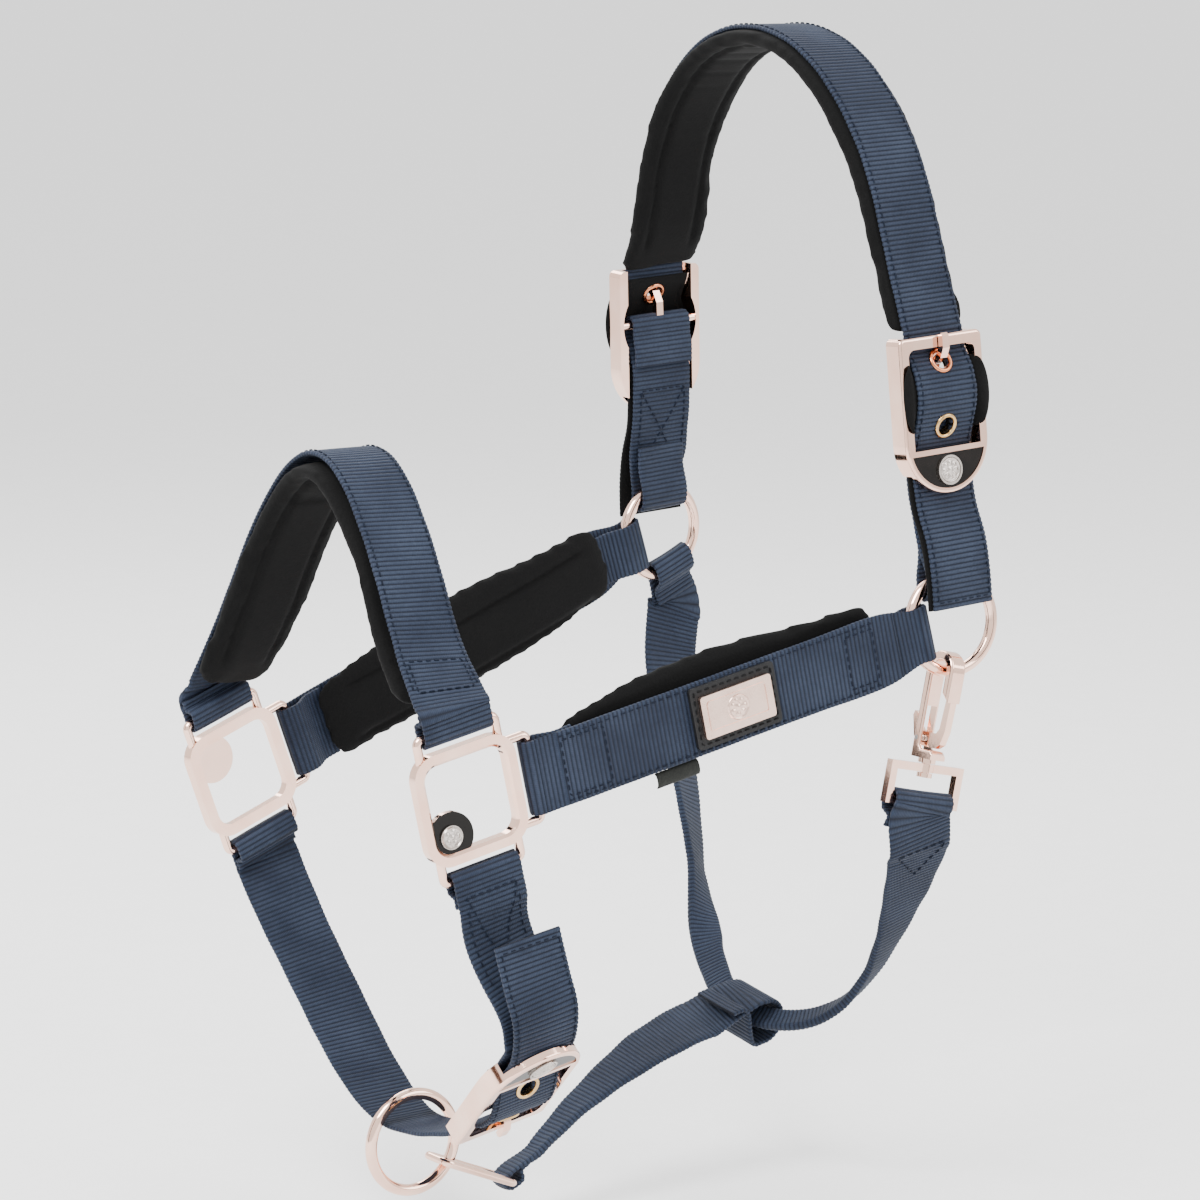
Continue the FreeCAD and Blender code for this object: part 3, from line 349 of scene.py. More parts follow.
def stitches(name, route, lines, lift, material=None):
    """Sewn stitches along lines of (u, v) points on a route; lift is the face's height above its middle."""
    shape = [(-0.5, 0.35), (-0.32, 1.0), (0.32, 1.0), (0.5, 0.35)]
    sides = 6
    verts, faces = [], []
    for line in lines:
        line = np.array(line, float)
        marks = run_lengths(line)
        count = max(int(marks[-1] / STITCH_PITCH), 1)
        for k in range(count):
            middle = (k + 0.5) * marks[-1] / count
            ends = []
            for share, swell in shape:
                where = np.clip(middle + share * STITCH_LENGTH, 0, marks[-1])
                uv = [np.interp(where, marks, line[:, c]) for c in (0, 1)]
                rise = lift + np.sign(lift) * (0.12 if swell == 1.0 else -0.25)
                ends.append((route.at(uv[0], uv[1], rise), swell * STITCH_RADIUS))
            along = unit(ends[-1][0] - ends[0][0])
            station = min(int(np.searchsorted(route.v, uv[1])), len(route.v) - 1)
            sideways = square_to(route.normal[station], along)
            upright = np.cross(along, sideways)
            start = len(verts)
            for centre, radius in ends:
                for s in range(sides):
                    turn = 2 * math.pi * s / sides
                    verts.append(centre + (sideways * math.cos(turn) + upright * math.sin(turn)) * radius)
            faces += band_faces(start, len(shape) - 1, sides)
            faces.append(tuple(start + s for s in reversed(range(sides))))
            faces.append(tuple(start + (len(shape) - 1) * sides + s for s in range(sides)))
    new_object(name, np.array(verts), faces, material or THREAD, "root")


def sewn_box(u, v0, v1, cross=True):
    """The outline of a sewn end, with a cross in it."""
    lines = [[(-u, v0), (u, v0), (u, v1), (-u, v1), (-u, v0)]]
    if cross:
        lines += [[(-u, v0), (u, v1)], [(u, v0), (-u, v1)]]
    return lines


# ---- materials
class Shader:
    """A Principled material with a few helpers for its nodes."""

    def __init__(self, name, colour, rough, metal=0.0, **sockets):
        self.material = bpy.data.materials.new(name)
        self.material.use_nodes = True
        self.tree = self.material.node_tree
        self.face = self.tree.nodes["Principled BSDF"]
        self.face.inputs["Base Color"].default_value = (*colour, 1)
        self.face.inputs["Roughness"].default_value = rough
        self.face.inputs["Metallic"].default_value = metal
        for key, value in sockets.items():
            self.face.inputs[key.replace("_", " ")].default_value = value

    def node(self, kind, **settings):
        item = self.tree.nodes.new(kind)
        for key, value in settings.items():
            setattr(item, key, value)
        return item

    def link(self, source, target):
        self.tree.links.new(source, target)
        return source

    def math(self, operation, first, second=None, clamp=False):
        item = self.node("ShaderNodeMath", operation=operation, use_clamp=clamp)
        for socket, value in zip(item.inputs, (first, second)):
            if isinstance(value, (int, float)):
                socket.default_value = value
            elif value is not None:
                self.link(value, socket)
        return item.outputs[0]

    def times(self, first, second, clamp=False):
        return self.math("MULTIPLY", first, second, clamp)

    def plus(self, first, second):
        return self.math("ADD", first, second)

    def wave(self, place, pitch):
        """Humps from 0 to 1, one per pitch."""
        return self.math("ABSOLUTE", self.math("SINE", self.times(place, math.pi / pitch)))

    def pattern(self, kind, scale):
        """A texture over the object's own places; scale is in lumps per metre."""
        place = self.node("ShaderNodeTexCoord")
        item = self.node(kind)
        item.inputs["Scale"].default_value = scale
        self.link(place.outputs["Object"], item.inputs["Vector"])
        return item

    def noise(self, scale, detail=3.0):
        item = self.pattern("ShaderNodeTexNoise", scale)
        item.inputs["Detail"].default_value = detail
        item.inputs["Roughness"].default_value = 0.55
        return item.outputs["Fac"]

    def mix(self, share, first, second):
        item = self.node("ShaderNodeMix", data_type="RGBA")
        self.link(share, item.inputs["Factor"])
        for socket, value in ((item.inputs["A"], first), (item.inputs["B"], second)):
            if isinstance(value, tuple):
                socket.default_value = (*value, 1)
            else:
                self.link(value, socket)
        return item.outputs["Result"]

    def ramp(self, share, low, high):
        item = self.node("ShaderNodeMapRange")
        item.inputs["To Min"].default_value = low
        item.inputs["To Max"].default_value = high
        self.link(share, item.inputs["Value"])
        return item.outputs["Result"]

    def colour(self, source):
        self.link(source, self.face.inputs["Base Color"])

    def roughness(self, source):
        self.link(source, self.face.inputs["Roughness"])

    def bump(self, height, strength, distance):
        item = self.node("ShaderNodeBump")
        item.inputs["Strength"].default_value = strength
        item.inputs["Distance"].default_value = distance
        self.link(height, item.inputs["Height"])
        self.link(item.outputs["Normal"], self.face.inputs["Normal"])

    def weave_place(self):
        """The strap's own coordinates, in millimetres across and along."""
        chart = self.node("ShaderNodeUVMap", uv_map="weave")
        parts = self.node("ShaderNodeSeparateXYZ")
        self.link(chart.outputs["UV"], parts.inputs[0])
        return self.times(parts.outputs[0], 10.0), self.times(parts.outputs[1], 10.0)


YARN_PITCH = 0.62


def webbing_material(name, deep, light, worn_and_sheen):
    """Ribbed nylon: crosswise ribs of fine yarns, with painted shade darkening the grooves, and paler crests
    that are real wear plus a painted sheen highlight.
    """
    shader = Shader(name, light, 0.66, Sheen_Weight=0.03, Sheen_Roughness=0.5, Specular_IOR_Level=0.16)
    across, along = shader.weave_place()
    crest = shader.math("POWER", shader.wave(along, RIB_PITCH), 0.9)
    row = shader.math("FLOOR", shader.math("DIVIDE", along, RIB_PITCH))
    yarn = shader.wave(shader.plus(across, shader.times(row, 0.5 * YARN_PITCH)), YARN_PITCH)
    lumps = shader.noise(900.0, 2.0)
    patches = shader.noise(42.0, 4.0)
    # Painted shade: the base colour drops to the dark groove colour in the rib grooves and between yarns;
    # the lumps only vary it at random.
    share = shader.times(crest, shader.ramp(yarn, 0.62, 1.0))
    share = shader.times(share, shader.ramp(lumps, 0.55, 1.4), True)
    base = shader.mix(share, deep, light)
    # Paler crests in patches: real wear plus a painted sheen highlight.
    wear_and_sheen = shader.times(shader.ramp(patches, -0.9, 1.5), share, True)
    shader.colour(shader.mix(wear_and_sheen, base, worn_and_sheen))
    shader.roughness(shader.ramp(patches, 0.52, 0.78))
    shader.bump(shader.plus(shader.times(yarn, 0.6), shader.times(lumps, 0.5)), 0.55, 0.00025)
    return shader.material


def cloth_material(name, colour, pale, grain=1400.0, rough=0.88):
    """Matt knitted cloth with a fine grain and a little lint."""
    shader = Shader(name, colour, rough, Sheen_Weight=0.015, Sheen_Roughness=0.6, Specular_IOR_Level=0.08)
    fine = shader.noise(grain, 2.0)
    broad = shader.noise(55.0, 3.0)
    shader.colour(shader.mix(shader.ramp(shader.times(fine, broad), -0.25, 1.6), colour, pale))
    shader.roughness(shader.ramp(broad, rough - 0.1, rough + 0.06))
    shader.bump(shader.plus(fine, shader.times(broad, 0.6)), 0.5, 0.00022)
    return shader.material


def metal_material(name, colour, deep, rough=0.1):
    """Polished plating with faint waviness, fine scuffs and a deeper tone in patches."""
    shader = Shader(name, colour, rough, 1.0)
    clouds = shader.noise(90.0, 3.0)
    scuffs = shader.noise(2400.0, 2.0)
    shader.colour(shader.mix(shader.ramp(clouds, -0.5, 1.1), colour, deep))
    shader.roughness(shader.ramp(shader.times(clouds, scuffs), rough * 0.6, rough * 2.4))
    shader.bump(shader.plus(clouds, shader.times(scuffs, 0.05)), 0.12, 0.0003)
    return shader.material


def gloss_material(name, colour, pale):
    """Poured enamel: glossy, nearly black, faintly uneven."""
    shader = Shader(name, colour, 0.16, Coat_Weight=0.05, Coat_Roughness=0.08, Specular_IOR_Level=0.16)
    clouds = shader.noise(160.0, 3.0)
    shader.colour(shader.mix(shader.ramp(clouds, -0.3, 1.1), colour, pale))
    shader.roughness(shader.ramp(clouds, 0.06, 0.2))
    shader.bump(clouds, 0.08, 0.0004)
    return shader.material


def plated_back(name, front, back, axis):
    """Enamel in front and bare plating behind: axis points out of the front."""
    shader = Shader(name, front, 0.16, Specular_IOR_Level=0.16)
    surface = shader.node("ShaderNodeNewGeometry")
    dot = shader.node("ShaderNodeVectorMath", operation="DOT_PRODUCT")
    dot.inputs[1].default_value = tuple(axis)
    shader.link(surface.outputs["True Normal"], dot.inputs[0])
    behind = shader.math("LESS_THAN", dot.outputs["Value"], 0.5)
    clouds = shader.noise(160.0, 3.0)
    shader.colour(shader.mix(behind, front, back))
    shader.link(behind, shader.face.inputs["Metallic"])
    shader.roughness(shader.ramp(clouds, 0.08, 0.24))
    shader.bump(clouds, 0.1, 0.0004)
    return shader.material


def leather_material(name, colour, pale):
    """Smooth synthetic leather with a fine pebbled grain."""
    shader = Shader(name, colour, 0.5, Specular_IOR_Level=0.25)
    cells = shader.pattern("ShaderNodeTexVoronoi", 1500.0)
    broad = shader.noise(120.0, 3.0)
    shader.colour(shader.mix(shader.ramp(broad, -0.2, 1.1), colour, pale))
    shader.roughness(shader.ramp(broad, 0.38, 0.6))
    shader.bump(cells.outputs["Distance"], 0.5, 0.0002)
    return shader.material


# The dark groove colour is painted shade for the grooves between ribs; the worn colour is real wear plus a
# painted sheen highlight on the crests.
GROOVE_SHADE_NAVY, NAVY, WORN_SHEEN_NAVY = (0.0022, 0.0035, 0.0085), (0.0125, 0.0195, 0.039), (0.032, 0.043, 0.07)
WEBBING = webbing_material("ribbed_webbing", GROOVE_SHADE_NAVY, NAVY, WORN_SHEEN_NAVY)
THREAD = cloth_material("sewing_thread", (0.004, 0.006, 0.013), (0.014, 0.02, 0.036), 2600.0, 0.7)
BLACK_THREAD = cloth_material("black_thread", (0.004, 0.004, 0.0042), (0.012, 0.012, 0.0125), 2600.0, 0.7)
PADDING = cloth_material("padding_cloth", (0.0022, 0.0022, 0.0023), (0.0055, 0.0054, 0.0054))
LABEL = cloth_material("label_cloth", (0.012, 0.013, 0.012), (0.045, 0.045, 0.038), 1900.0, 0.6)
ROSE_GOLD = metal_material("rose_gold_plating", (0.93, 0.63, 0.51), (0.84, 0.5, 0.37), 0.09)
COPPER = metal_material("copper_eyelet", (0.7, 0.27, 0.13), (0.45, 0.15, 0.07), 0.2)
BRASS = metal_material("brass_eyelet", (0.66, 0.44, 0.2), (0.42, 0.25, 0.1), 0.2)
SILVER = metal_material("relief_plating", (0.62, 0.57, 0.53), (0.3, 0.26, 0.23), 0.26)
STEEL = metal_material("spring_steel", (0.6, 0.59, 0.58), (0.4, 0.39, 0.38), 0.24)
ENAMEL = gloss_material("black_enamel", (0.004, 0.0035, 0.003), (0.012, 0.009, 0.008))
LEATHER = leather_material("patch_leather", (0.004, 0.004, 0.0045), (0.011, 0.011, 0.012))
PLATE = metal_material("plate_plating", (0.8, 0.58, 0.49), (0.66, 0.45, 0.37), 0.24)

# ---- straps and their stations
BACK = vec(1, 0, 0)
# The strap's middle over a buckle as (along, height): under the nose plate, over the pivot, under the top.
BUCKLE_RUN = [(-31.0, 1.3), (-17.4, 1.3), (-15.6, 1.8), (-5.4, 5.8), (-2.0, 6.5), (1.5, 6.7), (5.0, 6.1),
              (7.6, 5.5), (15.2, 1.4), (17.0, 1.2), (21.0, 1.2)]
TAIL_RUN = [(-71.0, 7.2), (-59.0, 7.2), (-48.0, 5.5), (-37.0, 2.0)]
CROWN_ARCH = [(70.5, -62.0), (61.0, -35.0), (46.0, -13.5), (25.0, 1.6)]
UPPER_EYELET, LOWER_EYELET = 10.9, -10.2
EYELETS = (LOWER_EYELET, UPPER_EYELET)
EYELET_HOLE = 3.5
EDGE_ROW, END_ROW = 10.9, 2.5


def smooth(stations, count):
    """count stations on a natural cubic curve through the given ones."""
    rows = station_rows(stations)
    knots = run_lengths(rows[:, :3])
    size = len(rows)
    spans = np.diff(knots)
    system, right = np.eye(size), np.zeros((size, 3))
    for i in range(1, size - 1):
        system[i, i - 1:i + 2] = spans[i - 1], 2 * (spans[i - 1] + spans[i]), spans[i]
        leaving = (rows[i + 1, :3] - rows[i, :3]) / spans[i]
        arriving = (rows[i, :3] - rows[i - 1, :3]) / spans[i - 1]
        right[i] = 6 * (leaving - arriving)
    bend = np.linalg.solve(system, right)
    eased = []
    for at in np.linspace(0, knots[-1], count):
        i = min(int(np.searchsorted(knots, at, side="right")) - 1, size - 2)
        a, b, h = knots[i + 1] - at, at - knots[i], spans[i]
        place = (bend[i] * a ** 3 + bend[i + 1] * b ** 3) / (6 * h)
        here, there = rows[i, :3] / h - bend[i] * h / 6, rows[i + 1, :3] / h - bend[i + 1] * h / 6
        place = place + here * a + there * b
        rest = rows[i, 3:] * (a / h) + rows[i + 1, 3:] * (b / h)
        eased.append((place, unit(rest[:3]), rest[3], rest[4]))
    return eased


def along_run(place, run, width=WEB_WIDTH, thickness=WEB_THICK, drop=0.0):
    return [(place.at(0, y, z - drop), place.x, width, thickness) for y, z in run]


def run_height(y):
    return float(np.interp(y, [p[0] for p in BUCKLE_RUN], [p[1] for p in BUCKLE_RUN]))


def crown_arch():
    near, far = BUCKLE["near"], BUCKLE["far"]
    def hang(side, y, z):
        return vec(RING_CENTRE["near"][0] * z / RING_CENTRE["near"][2], SIDE[side] * y, z)
    points = [near.at(0, 21.0, 1.2)] + [hang("near", y, z) for y, z in CROWN_ARCH]
    points += [vec(0, 0, PAD_THICK + 0.1 + HALF_WEB)]
    points += [hang("far", y, z) for y, z in reversed(CROWN_ARCH)] + [far.at(0, 21.0, 1.2)]
    return smooth([web(p, BACK) for p in points], 61)


def eyelet_marks(route, place):
    return [(route.mark(place.at(0, y, run_height(y))), EYELET_HOLE) for y in EYELETS]


RIB_STEP = RIB_PITCH / 4


def span_between(route, first, second):
    """The stretch of a route between the two places nearest to the given points."""
    return sorted((route.mark(first), route.mark(second)))


def edge_rows(u, v0, v1):
    return [[(-u, v0), (-u, v1)], [(u, v0), (u, v1)]]


def build_crown():
    near, far = BUCKLE["near"], BUCKLE["far"]
    run = TAIL_RUN + BUCKLE_RUN[:-1]
    far_run = [web(far.at(0, y, z), -far.x) for y, z in reversed(run)]
    route = Route(along_run(near, run) + crown_arch() + far_run, RIB_STEP)
    marks = eyelet_marks(route, near) + eyelet_marks(route, far)
    strap("crown_strap", route, WEBBING, "crown_webbing", holes=marks)
    last = route.length - END_ROW
    rows = edge_rows(EDGE_ROW, END_ROW, last) + [[(-EDGE_ROW, END_ROW), (EDGE_ROW, END_ROW)],
                                                 [(-EDGE_ROW, last), (EDGE_ROW, last)]]
    stitches("crown_strap_stitching", route, rows, HALF_WEB)
    for side, place in (("near", near), ("far", far)):
        drop = HALF_WEB + 0.1 + LINING_THICK / 2
        stations = along_run(place, run[:-1] + [(16.6, 1.2)], LINING_WIDTH, LINING_THICK, drop)
        lining = Route(stations, 0.8)
        holes = eyelet_marks(lining, place)
        strap(side + "_tail_backing", lining, PADDING, side + "_tail_lining", 0.0, holes)
        lining_lobes(side, place)
        lower_strap(side, place)


LOBE_REACH, LOBE_FROM, LOBE_TO, LOBE_THICK = 18.2, -12.4, 12.2, 1.9


def lining_lobes(side, place):
    """The round ears of the lining that lap over the buckle's side bars, one each side of the strap."""
    for name, sign in (("left", -1.0), ("right", 1.0)):
        rings = []
        for y in np.linspace(LOBE_FROM, LOBE_TO, 40):
            share = (y - (LOBE_FROM + LOBE_TO) / 2) / ((LOBE_TO - LOBE_FROM) / 2)
            reach = 12.2 + (LOBE_REACH - 12.2) * math.sqrt(max(1 - share ** 2, 0.004))
            under = run_height(y) - HALF_WEB - 0.1 - LINING_THICK / 2
            ring = []
            for turn in np.linspace(0, 2 * math.pi, 20, endpoint=False):
                part = 0.5 + 0.5 * math.cos(turn)
                u = 10.5 + (reach - 10.5) * part
                lift = under + (6.35 - under) * np.clip((u - 12.6) / 2.4, 0, 1)
                ring.append(place.at(sign * u, y, lift + math.sin(turn) * LOBE_THICK / 2))
            rings.append(ring if sign > 0 else ring[::-1])
        verts, faces = loft(np.array(rings))
        new_object("%s_lining_%s_lobe" % (side, name), verts, faces, PADDING, "root", 60.0)


def lower_strap(side, place):
    """From the cheek ring to the buckle's pivot, doubled nearly all the way."""
    axis = RING_AXIS[side]
    bar = place.at(0, 12.0 - PIVOT_RISE, 0)
    across = square_to(place.x, axis)
    ring_end = fold(bar, place.y, axis, across, RING_WIRE, 21.0, 20.0, 0.8)
    pivot_end = fold(place.origin, -place.y, place.z, place.x, PIVOT_WIRE, WEB_WIDTH, 15.0, -1.9)
    run = [(-49.0, 0.8), (-40.0, -0.9), (-33.0, -1.9), (-16.0, -1.9), (-10.5, 0.3)]
    middle = along_run(place, run)
    route = Route(ring_end[::-1] + middle + pivot_end, RIB_STEP)
    strap(side + "_ring_strap", route, WEBBING, side + "_lower_cheek_strap")
    low, high = [route.mark(place.at(0, y, z)) for y, z in ((-55.0, 0.8), (-24.0, -1.9))]
    rows = sewn_box(9.6, low, high)
    stitches(side + "_ring_strap_stitching", route, rows, HALF_WEB)
    stitches(side + "_ring_strap_back_stitching", route, rows, -HALF_WEB)


def build_cheekpiece(side):
    along, up, out = cheek_axes(side)
    centre = RING_CENTRE[side]
    length = np.linalg.norm(np.array(SQUARES[side]) - centre)
    across = up if np.dot(np.cross(up, along), out) > 0 else -up
    axis = RING_AXIS[side]
    ring_end = fold(centre + along * 12.9, along, axis, square_to(across, axis), RING_WIRE, 19.0, 20.0)
    square_end = fold(centre + along * (length - SLOT_GRIP), -along, out, across, SLOT_WIRE, WEB_WIDTH, 16.0)
    level = RING_LEVEL

    def face(x):
        return centre + along * x + out * level

    flat = (30.0, 60.0, 100.0, length - 60.0, length - 42.0)
    middle = [web(face(x), across) for x in flat]
    route = Route(ring_end[::-1] + middle + square_end, RIB_STEP)
    bars = [span_between(route, face(14.0), face(24.5)),
            span_between(route, face(length - SLOT_GRIP - 1), face(length - 33.0))]
    strap(side + "_cheek_strap", route, WEBBING, side + "_cheek_webbing", sunk=bars)
    marks = [route.mark(face(x)) for x in (33.0, length - 33.0)]
    rows = edge_rows(EDGE_ROW, marks[0], marks[1]) + sewn_box(9.4, marks[1] - 17.0, marks[1] - 1.0, False)
    rows += sewn_box(9.0, marks[0] + 1.0, marks[0] + 12.0, False)
    stitches(side + "_cheek_stitching", route, rows, HALF_WEB)
    return length


NOSE_ARCH = [(52.5, -181.0), (40.0, -160.5), (25.0, -141.0), (12.5, -130.5)]
NOSE_TOP = vec(-174.0, 0, -126.8)


def build_noseband():
    ends, arch = {}, []
    for side in ("near", "far"):
        along, up, out = cheek_axes(side)
        bar = np.array(SQUARES[side]) + up * SLOT_GRIP
        ends[side] = fold(bar, up, out, -along, SLOT_WIRE, WEB_WIDTH, 8.0)
        rise = [web(bar + up * 7 + out * SLOT_LEVEL, -along)]
        for y, z in NOSE_ARCH:
            lean = SQUARES[side][0] - 4.0 + 3.0 * (z - NOSE_ARCH[0][1]) / 55.0
            rise.append(web(vec(lean, SIDE[side] * y, z), BACK))
        arch += rise if side == "near" else rise[::-1]
        if side == "near":
            arch.append(web(NOSE_TOP, BACK))
    curve = smooth(arch, 49)
    route = Route(ends["near"][::-1] + curve + ends["far"], RIB_STEP)
    strap("noseband_strap", route, WEBBING, "nose_webbing")
    start, stop = [route.mark(curve[k][0]) for k in (1, -2)]
    rows = edge_rows(EDGE_ROW, start + 4, stop - 4) + sewn_box(9.4, start + 3, start + 15, False)
    rows += sewn_box(9.4, stop - 15, stop - 3, False)
    stitches("noseband_stitching", route, rows, HALF_WEB)
    return Route(curve, 1.0)


NEAR_CHIN = [(-154.6, -80.0, -301.0), (-159.0, -76.0, -288.0), (-164.5, -72.6, -270.0)]
CHIN_TAIL = [(-160.0, -84.0, -274.0), (-157.6, -86.2, -288.0), (-155.0, -87.2, -300.0)]
FAR_CHIN = [((-147.0, -24.0, -352.4), 24.0), ((-148.8, -9.0, -354.6), 22.0), ((-149.4, 5.0, -354.4), 22.0),
            ((-150.0, 22.0, -346.5), 24.0), ((-151.5, 42.0, -328.0), 25.0), ((-156.0, 60.0, -303.0), 25.0)]
CHIN_EYELET_STATION = 6


def build_chin():
    place = BUCKLE["chin"]
    along, up, out = cheek_axes("near")
    near_bar = np.array(SQUARES["near"]) - up * SLOT_GRIP
    near_fold = fold(near_bar, -up, out, along, SLOT_WIRE, WEB_WIDTH, 9.0)
    pivot_end = fold(place.origin, -place.y, place.z, place.x, PIVOT_WIRE, WEB_WIDTH, 15.0, -1.9)
    lower = along_run(place, [(-31.0, -2.6), (-24.0, -2.2), (-16.0, -1.9), (-10.5, 0.3)])
    climb = [web(vec(*spot), place.x) for spot in reversed(NEAR_CHIN)]
    leaving = web(near_bar - up * 11.5 + out * SLOT_LEVEL, along)
    climb = smooth([leaving] + climb + [lower[0]], 25)
    near = Route(near_fold[::-1] + climb + lower[1:] + pivot_end, RIB_STEP)
    strap("near_chin_band", near, WEBBING, "near_chin_strap")
    start = near.mark(climb[0][0])
    box = [[(-9.4, start - 6), (9.4, start - 6), (0, start + 20), (-9.4, start - 6)],
           [(-9.4, start - 2), (-9.4, start + 24)],
           [(9.4, start - 2), (9.4, start + 24)]]
    stitches("near_chin_stitching", near, box, HALF_WEB)
    stitches("near_chin_back_stitching", near, box, -HALF_WEB)

    tail = [web(vec(*spot), place.x) for spot in CHIN_TAIL]
    passing = along_run(place, BUCKLE_RUN)
    along, up, out = cheek_axes("far")
    bar = np.array(SQUARES["far"]) - up * SLOT_GRIP
    far_fold = fold(bar, -up, out, along, SLOT_WIRE, WEB_WIDTH, 8.0)
    sweep = chin_sweep()
    route = Route(tail + passing[:-1] + sweep + far_fold, RIB_STEP)
    marks = eyelet_marks(route, place)
    marks.append((route.mark(sweep[CHIN_EYELET_STATION][0]), EYELET_HOLE))
    strap("far_chin_band", route, WEBBING, "far_chin_strap", holes=marks)
    rows = edge_rows(EDGE_ROW, END_ROW, 92.0) + [[(-EDGE_ROW, END_ROW), (EDGE_ROW, END_ROW)]]
    rows += sewn_box(9.4, route.length - 44, route.length - 27, False)
    stitches("far_chin_stitching", route, rows, HALF_WEB)


JUNCTION = vec(-11.0, -2.0, -337.0)
JUNCTION_CORE = 6.8
THROAT_ROUTE = [
    ((16.5, 83.0, -226.0), (1.0, 0.1, 0.0), 24.0, 1.8),
    ((16.0, 75.0, -262.0), (0.85, 0.5, 0.0), 21.0, 2.2),
    ((9.0, 56.0, -297.0), (0.7, 0.7, 0.1), 15.0, 3.0),
    ((-4.0, 30.0, -323.0), (0.6, 0.3, 0.6), 11.0, 3.4),
    ((-11.0, -2.0, -337.0), (0.8, 0.0, 0.6), 8.6, 3.6),
    ((1.0, -27.0, -335.0), (0.8, 0.2, 0.5), 9.0, 3.6),
    ((11.0, -45.0, -316.0), (0.9, 0.3, 0.2), 12.0, 3.0),
    ((9.0, -64.0, -287.0), (1.0, 0.1, 0.0), 20.0, 2.0),
    ((2.2, -80.8, -266.0), (1.0, 0.0, 0.0), 24.6, 1.6),
]
JAW_ROUTE = [
    ((-30.0, -0.5, -337.0), (-0.12, -0.92, -0.3), 23.0, 1.8),
    ((-55.0, 0.0, -345.0), (0.0, -0.95, -0.3), 19.0, 2.2),
    ((-82.0, -0.5, -359.0), (0.0, -0.98, -0.2), 12.0, 3.0),
    ((-101.0, -1.0, -373.0), (0.0, -1.0, 0.0), 8.6, 3.2),
]


def build_throat():
    centre, axis = RING_CENTRE["far"], RING_AXIS["far"]
    down = square_to(vec(0.375, 0, -0.927), axis)
    across = square_to(vec(0.927, 0, 0.375), axis)
    start = fold(centre + down * 13.4, down, axis, across, RING_WIRE, 17.5, 14.0)
    lean = square_to(SNAP_SIDE, SNAP_UP)
    eye_bar = SNAP_FOOT - SNAP_UP * (14.5 - 1.4 - 0.2)
    end = fold(eye_bar, vec(0.1, 0.25, -0.96), vec(0, -1, 0), -lean, 2.05, 25.0, 9.5)
    flat = (centre + down * 30 + axis * RING_LEVEL, across, 22.0, WEB_THICK)
    middle = smooth([flat] + placed(THROAT_ROUTE), 60)
    throat = Route(start[::-1] + middle + end, RIB_STEP)
    strap("throat_band", throat, WEBBING, "throat_strap", wobble=0.25)
    low, high = throat.mark(middle[0][0]), throat.mark(middle[-1][0])
    rows = [[(-7.5, low - 4), (7.5, low - 4), (0, low + 16), (-7.5, low - 4)]]
    rows += [[(-9.4, high), (9.4, high)], [(-9.4, high), (0, high - 14), (9.4, high)]]
    stitches("throat_stitching", throat, rows, HALF_WEB + 0.1)

    first, last = vec(*JAW_ROUTE[0][0]), vec(*JAW_ROUTE[-1][0])
    rising = vec(0, 0, 1)
    grip_across = vec(0.09, -0.975, -0.2)
    grip = fold(JUNCTION, first - JUNCTION, rising, grip_across, JUNCTION_CORE, 20.0, 16.0, steps=10)
    hold = fold(LINK_END, last - LINK_END, rising, vec(0, -1, 0), LINK_WIRE, 8.6, 9.0)
    jaw = Route(grip[::-1] + smooth(placed(JAW_ROUTE), 24) + hold, RIB_STEP)
    strap("jaw_band", jaw, WEBBING, "jaw_strap", wobble=0.25)
    start = jaw.mark(first)
    rows = [[(-9.0, v), (9.0, v)] for v in (start, start + 3)]
    stitches("jaw_stitching", jaw, rows, 0.95)


# ---- padded linings
def pad_cage(route, left, right, thick, top, steps_across=14):
    """A closed pillow along a route: left and right are its reaches, thick its depth, top its upper face."""
    rings = []
    for k in range(len(route.v)):
        ring = []
        middle, reach = (right[k] - left[k]) / 2, (right[k] + left[k]) / 2
        for s in range(2 * steps_across):
            turn = 2 * math.pi * s / (2 * steps_across)
            c, n = math.cos(turn), math.sin(turn)
            flat = math.copysign(abs(c) ** 0.45, c) * reach
            rise = math.copysign(abs(n) ** 0.45, n) * thick[k] / 2
            height = top[k] - thick[k] / 2 + rise
            ring.append(route.point[k] + route.across[k] * (middle + flat) + route.normal[k] * height)
        rings.append(ring)
    return loft(np.array(rings))


def soften(item, pressure=4.0, frames=20):
    """Blows the pillow up a little as cloth, so that it takes real slack and small puckers."""
    cloth = item.modifiers.new("Cloth", "CLOTH")
    cloth.settings.use_pressure = True
    cloth.settings.uniform_pressure_force = pressure
    cloth.settings.effector_weights.gravity = 0
    cloth.settings.tension_stiffness = cloth.settings.compression_stiffness = 9
    cloth.settings.quality = 4
    cloth.collision_settings.use_collision = False
    cloth.point_cache.frame_start, cloth.point_cache.frame_end = 1, frames
    rest = np.array([v.co for v in item.data.vertices])
    scene = bpy.context.scene
    for number in range(1, frames + 1):
        scene.frame_set(number)
    apply_modifiers(item)
    scene.frame_set(1)
    moved = np.array([v.co for v in item.data.vertices])
    shift = moved - rest
    size = np.linalg.norm(shift, axis=1)[:, None]
    moved = rest + shift * np.minimum(1.0, 1.0 * MM / np.maximum(size, 1e-9))
    item.data.vertices.foreach_set("co", moved.ravel())


def apply_modifiers(item):
    depsgraph = bpy.context.evaluated_depsgraph_get()
    done = bpy.data.meshes.new_from_object(item.evaluated_get(depsgraph))
    old = item.data
    item.modifiers.clear()
    item.data = done
    bpy.data.meshes.remove(old)


CHANNEL_AT, CHANNEL_WIDTH, CHANNEL_DEPTH = 9.5, 1.1, 1.3
PAD_CELL = 2.4


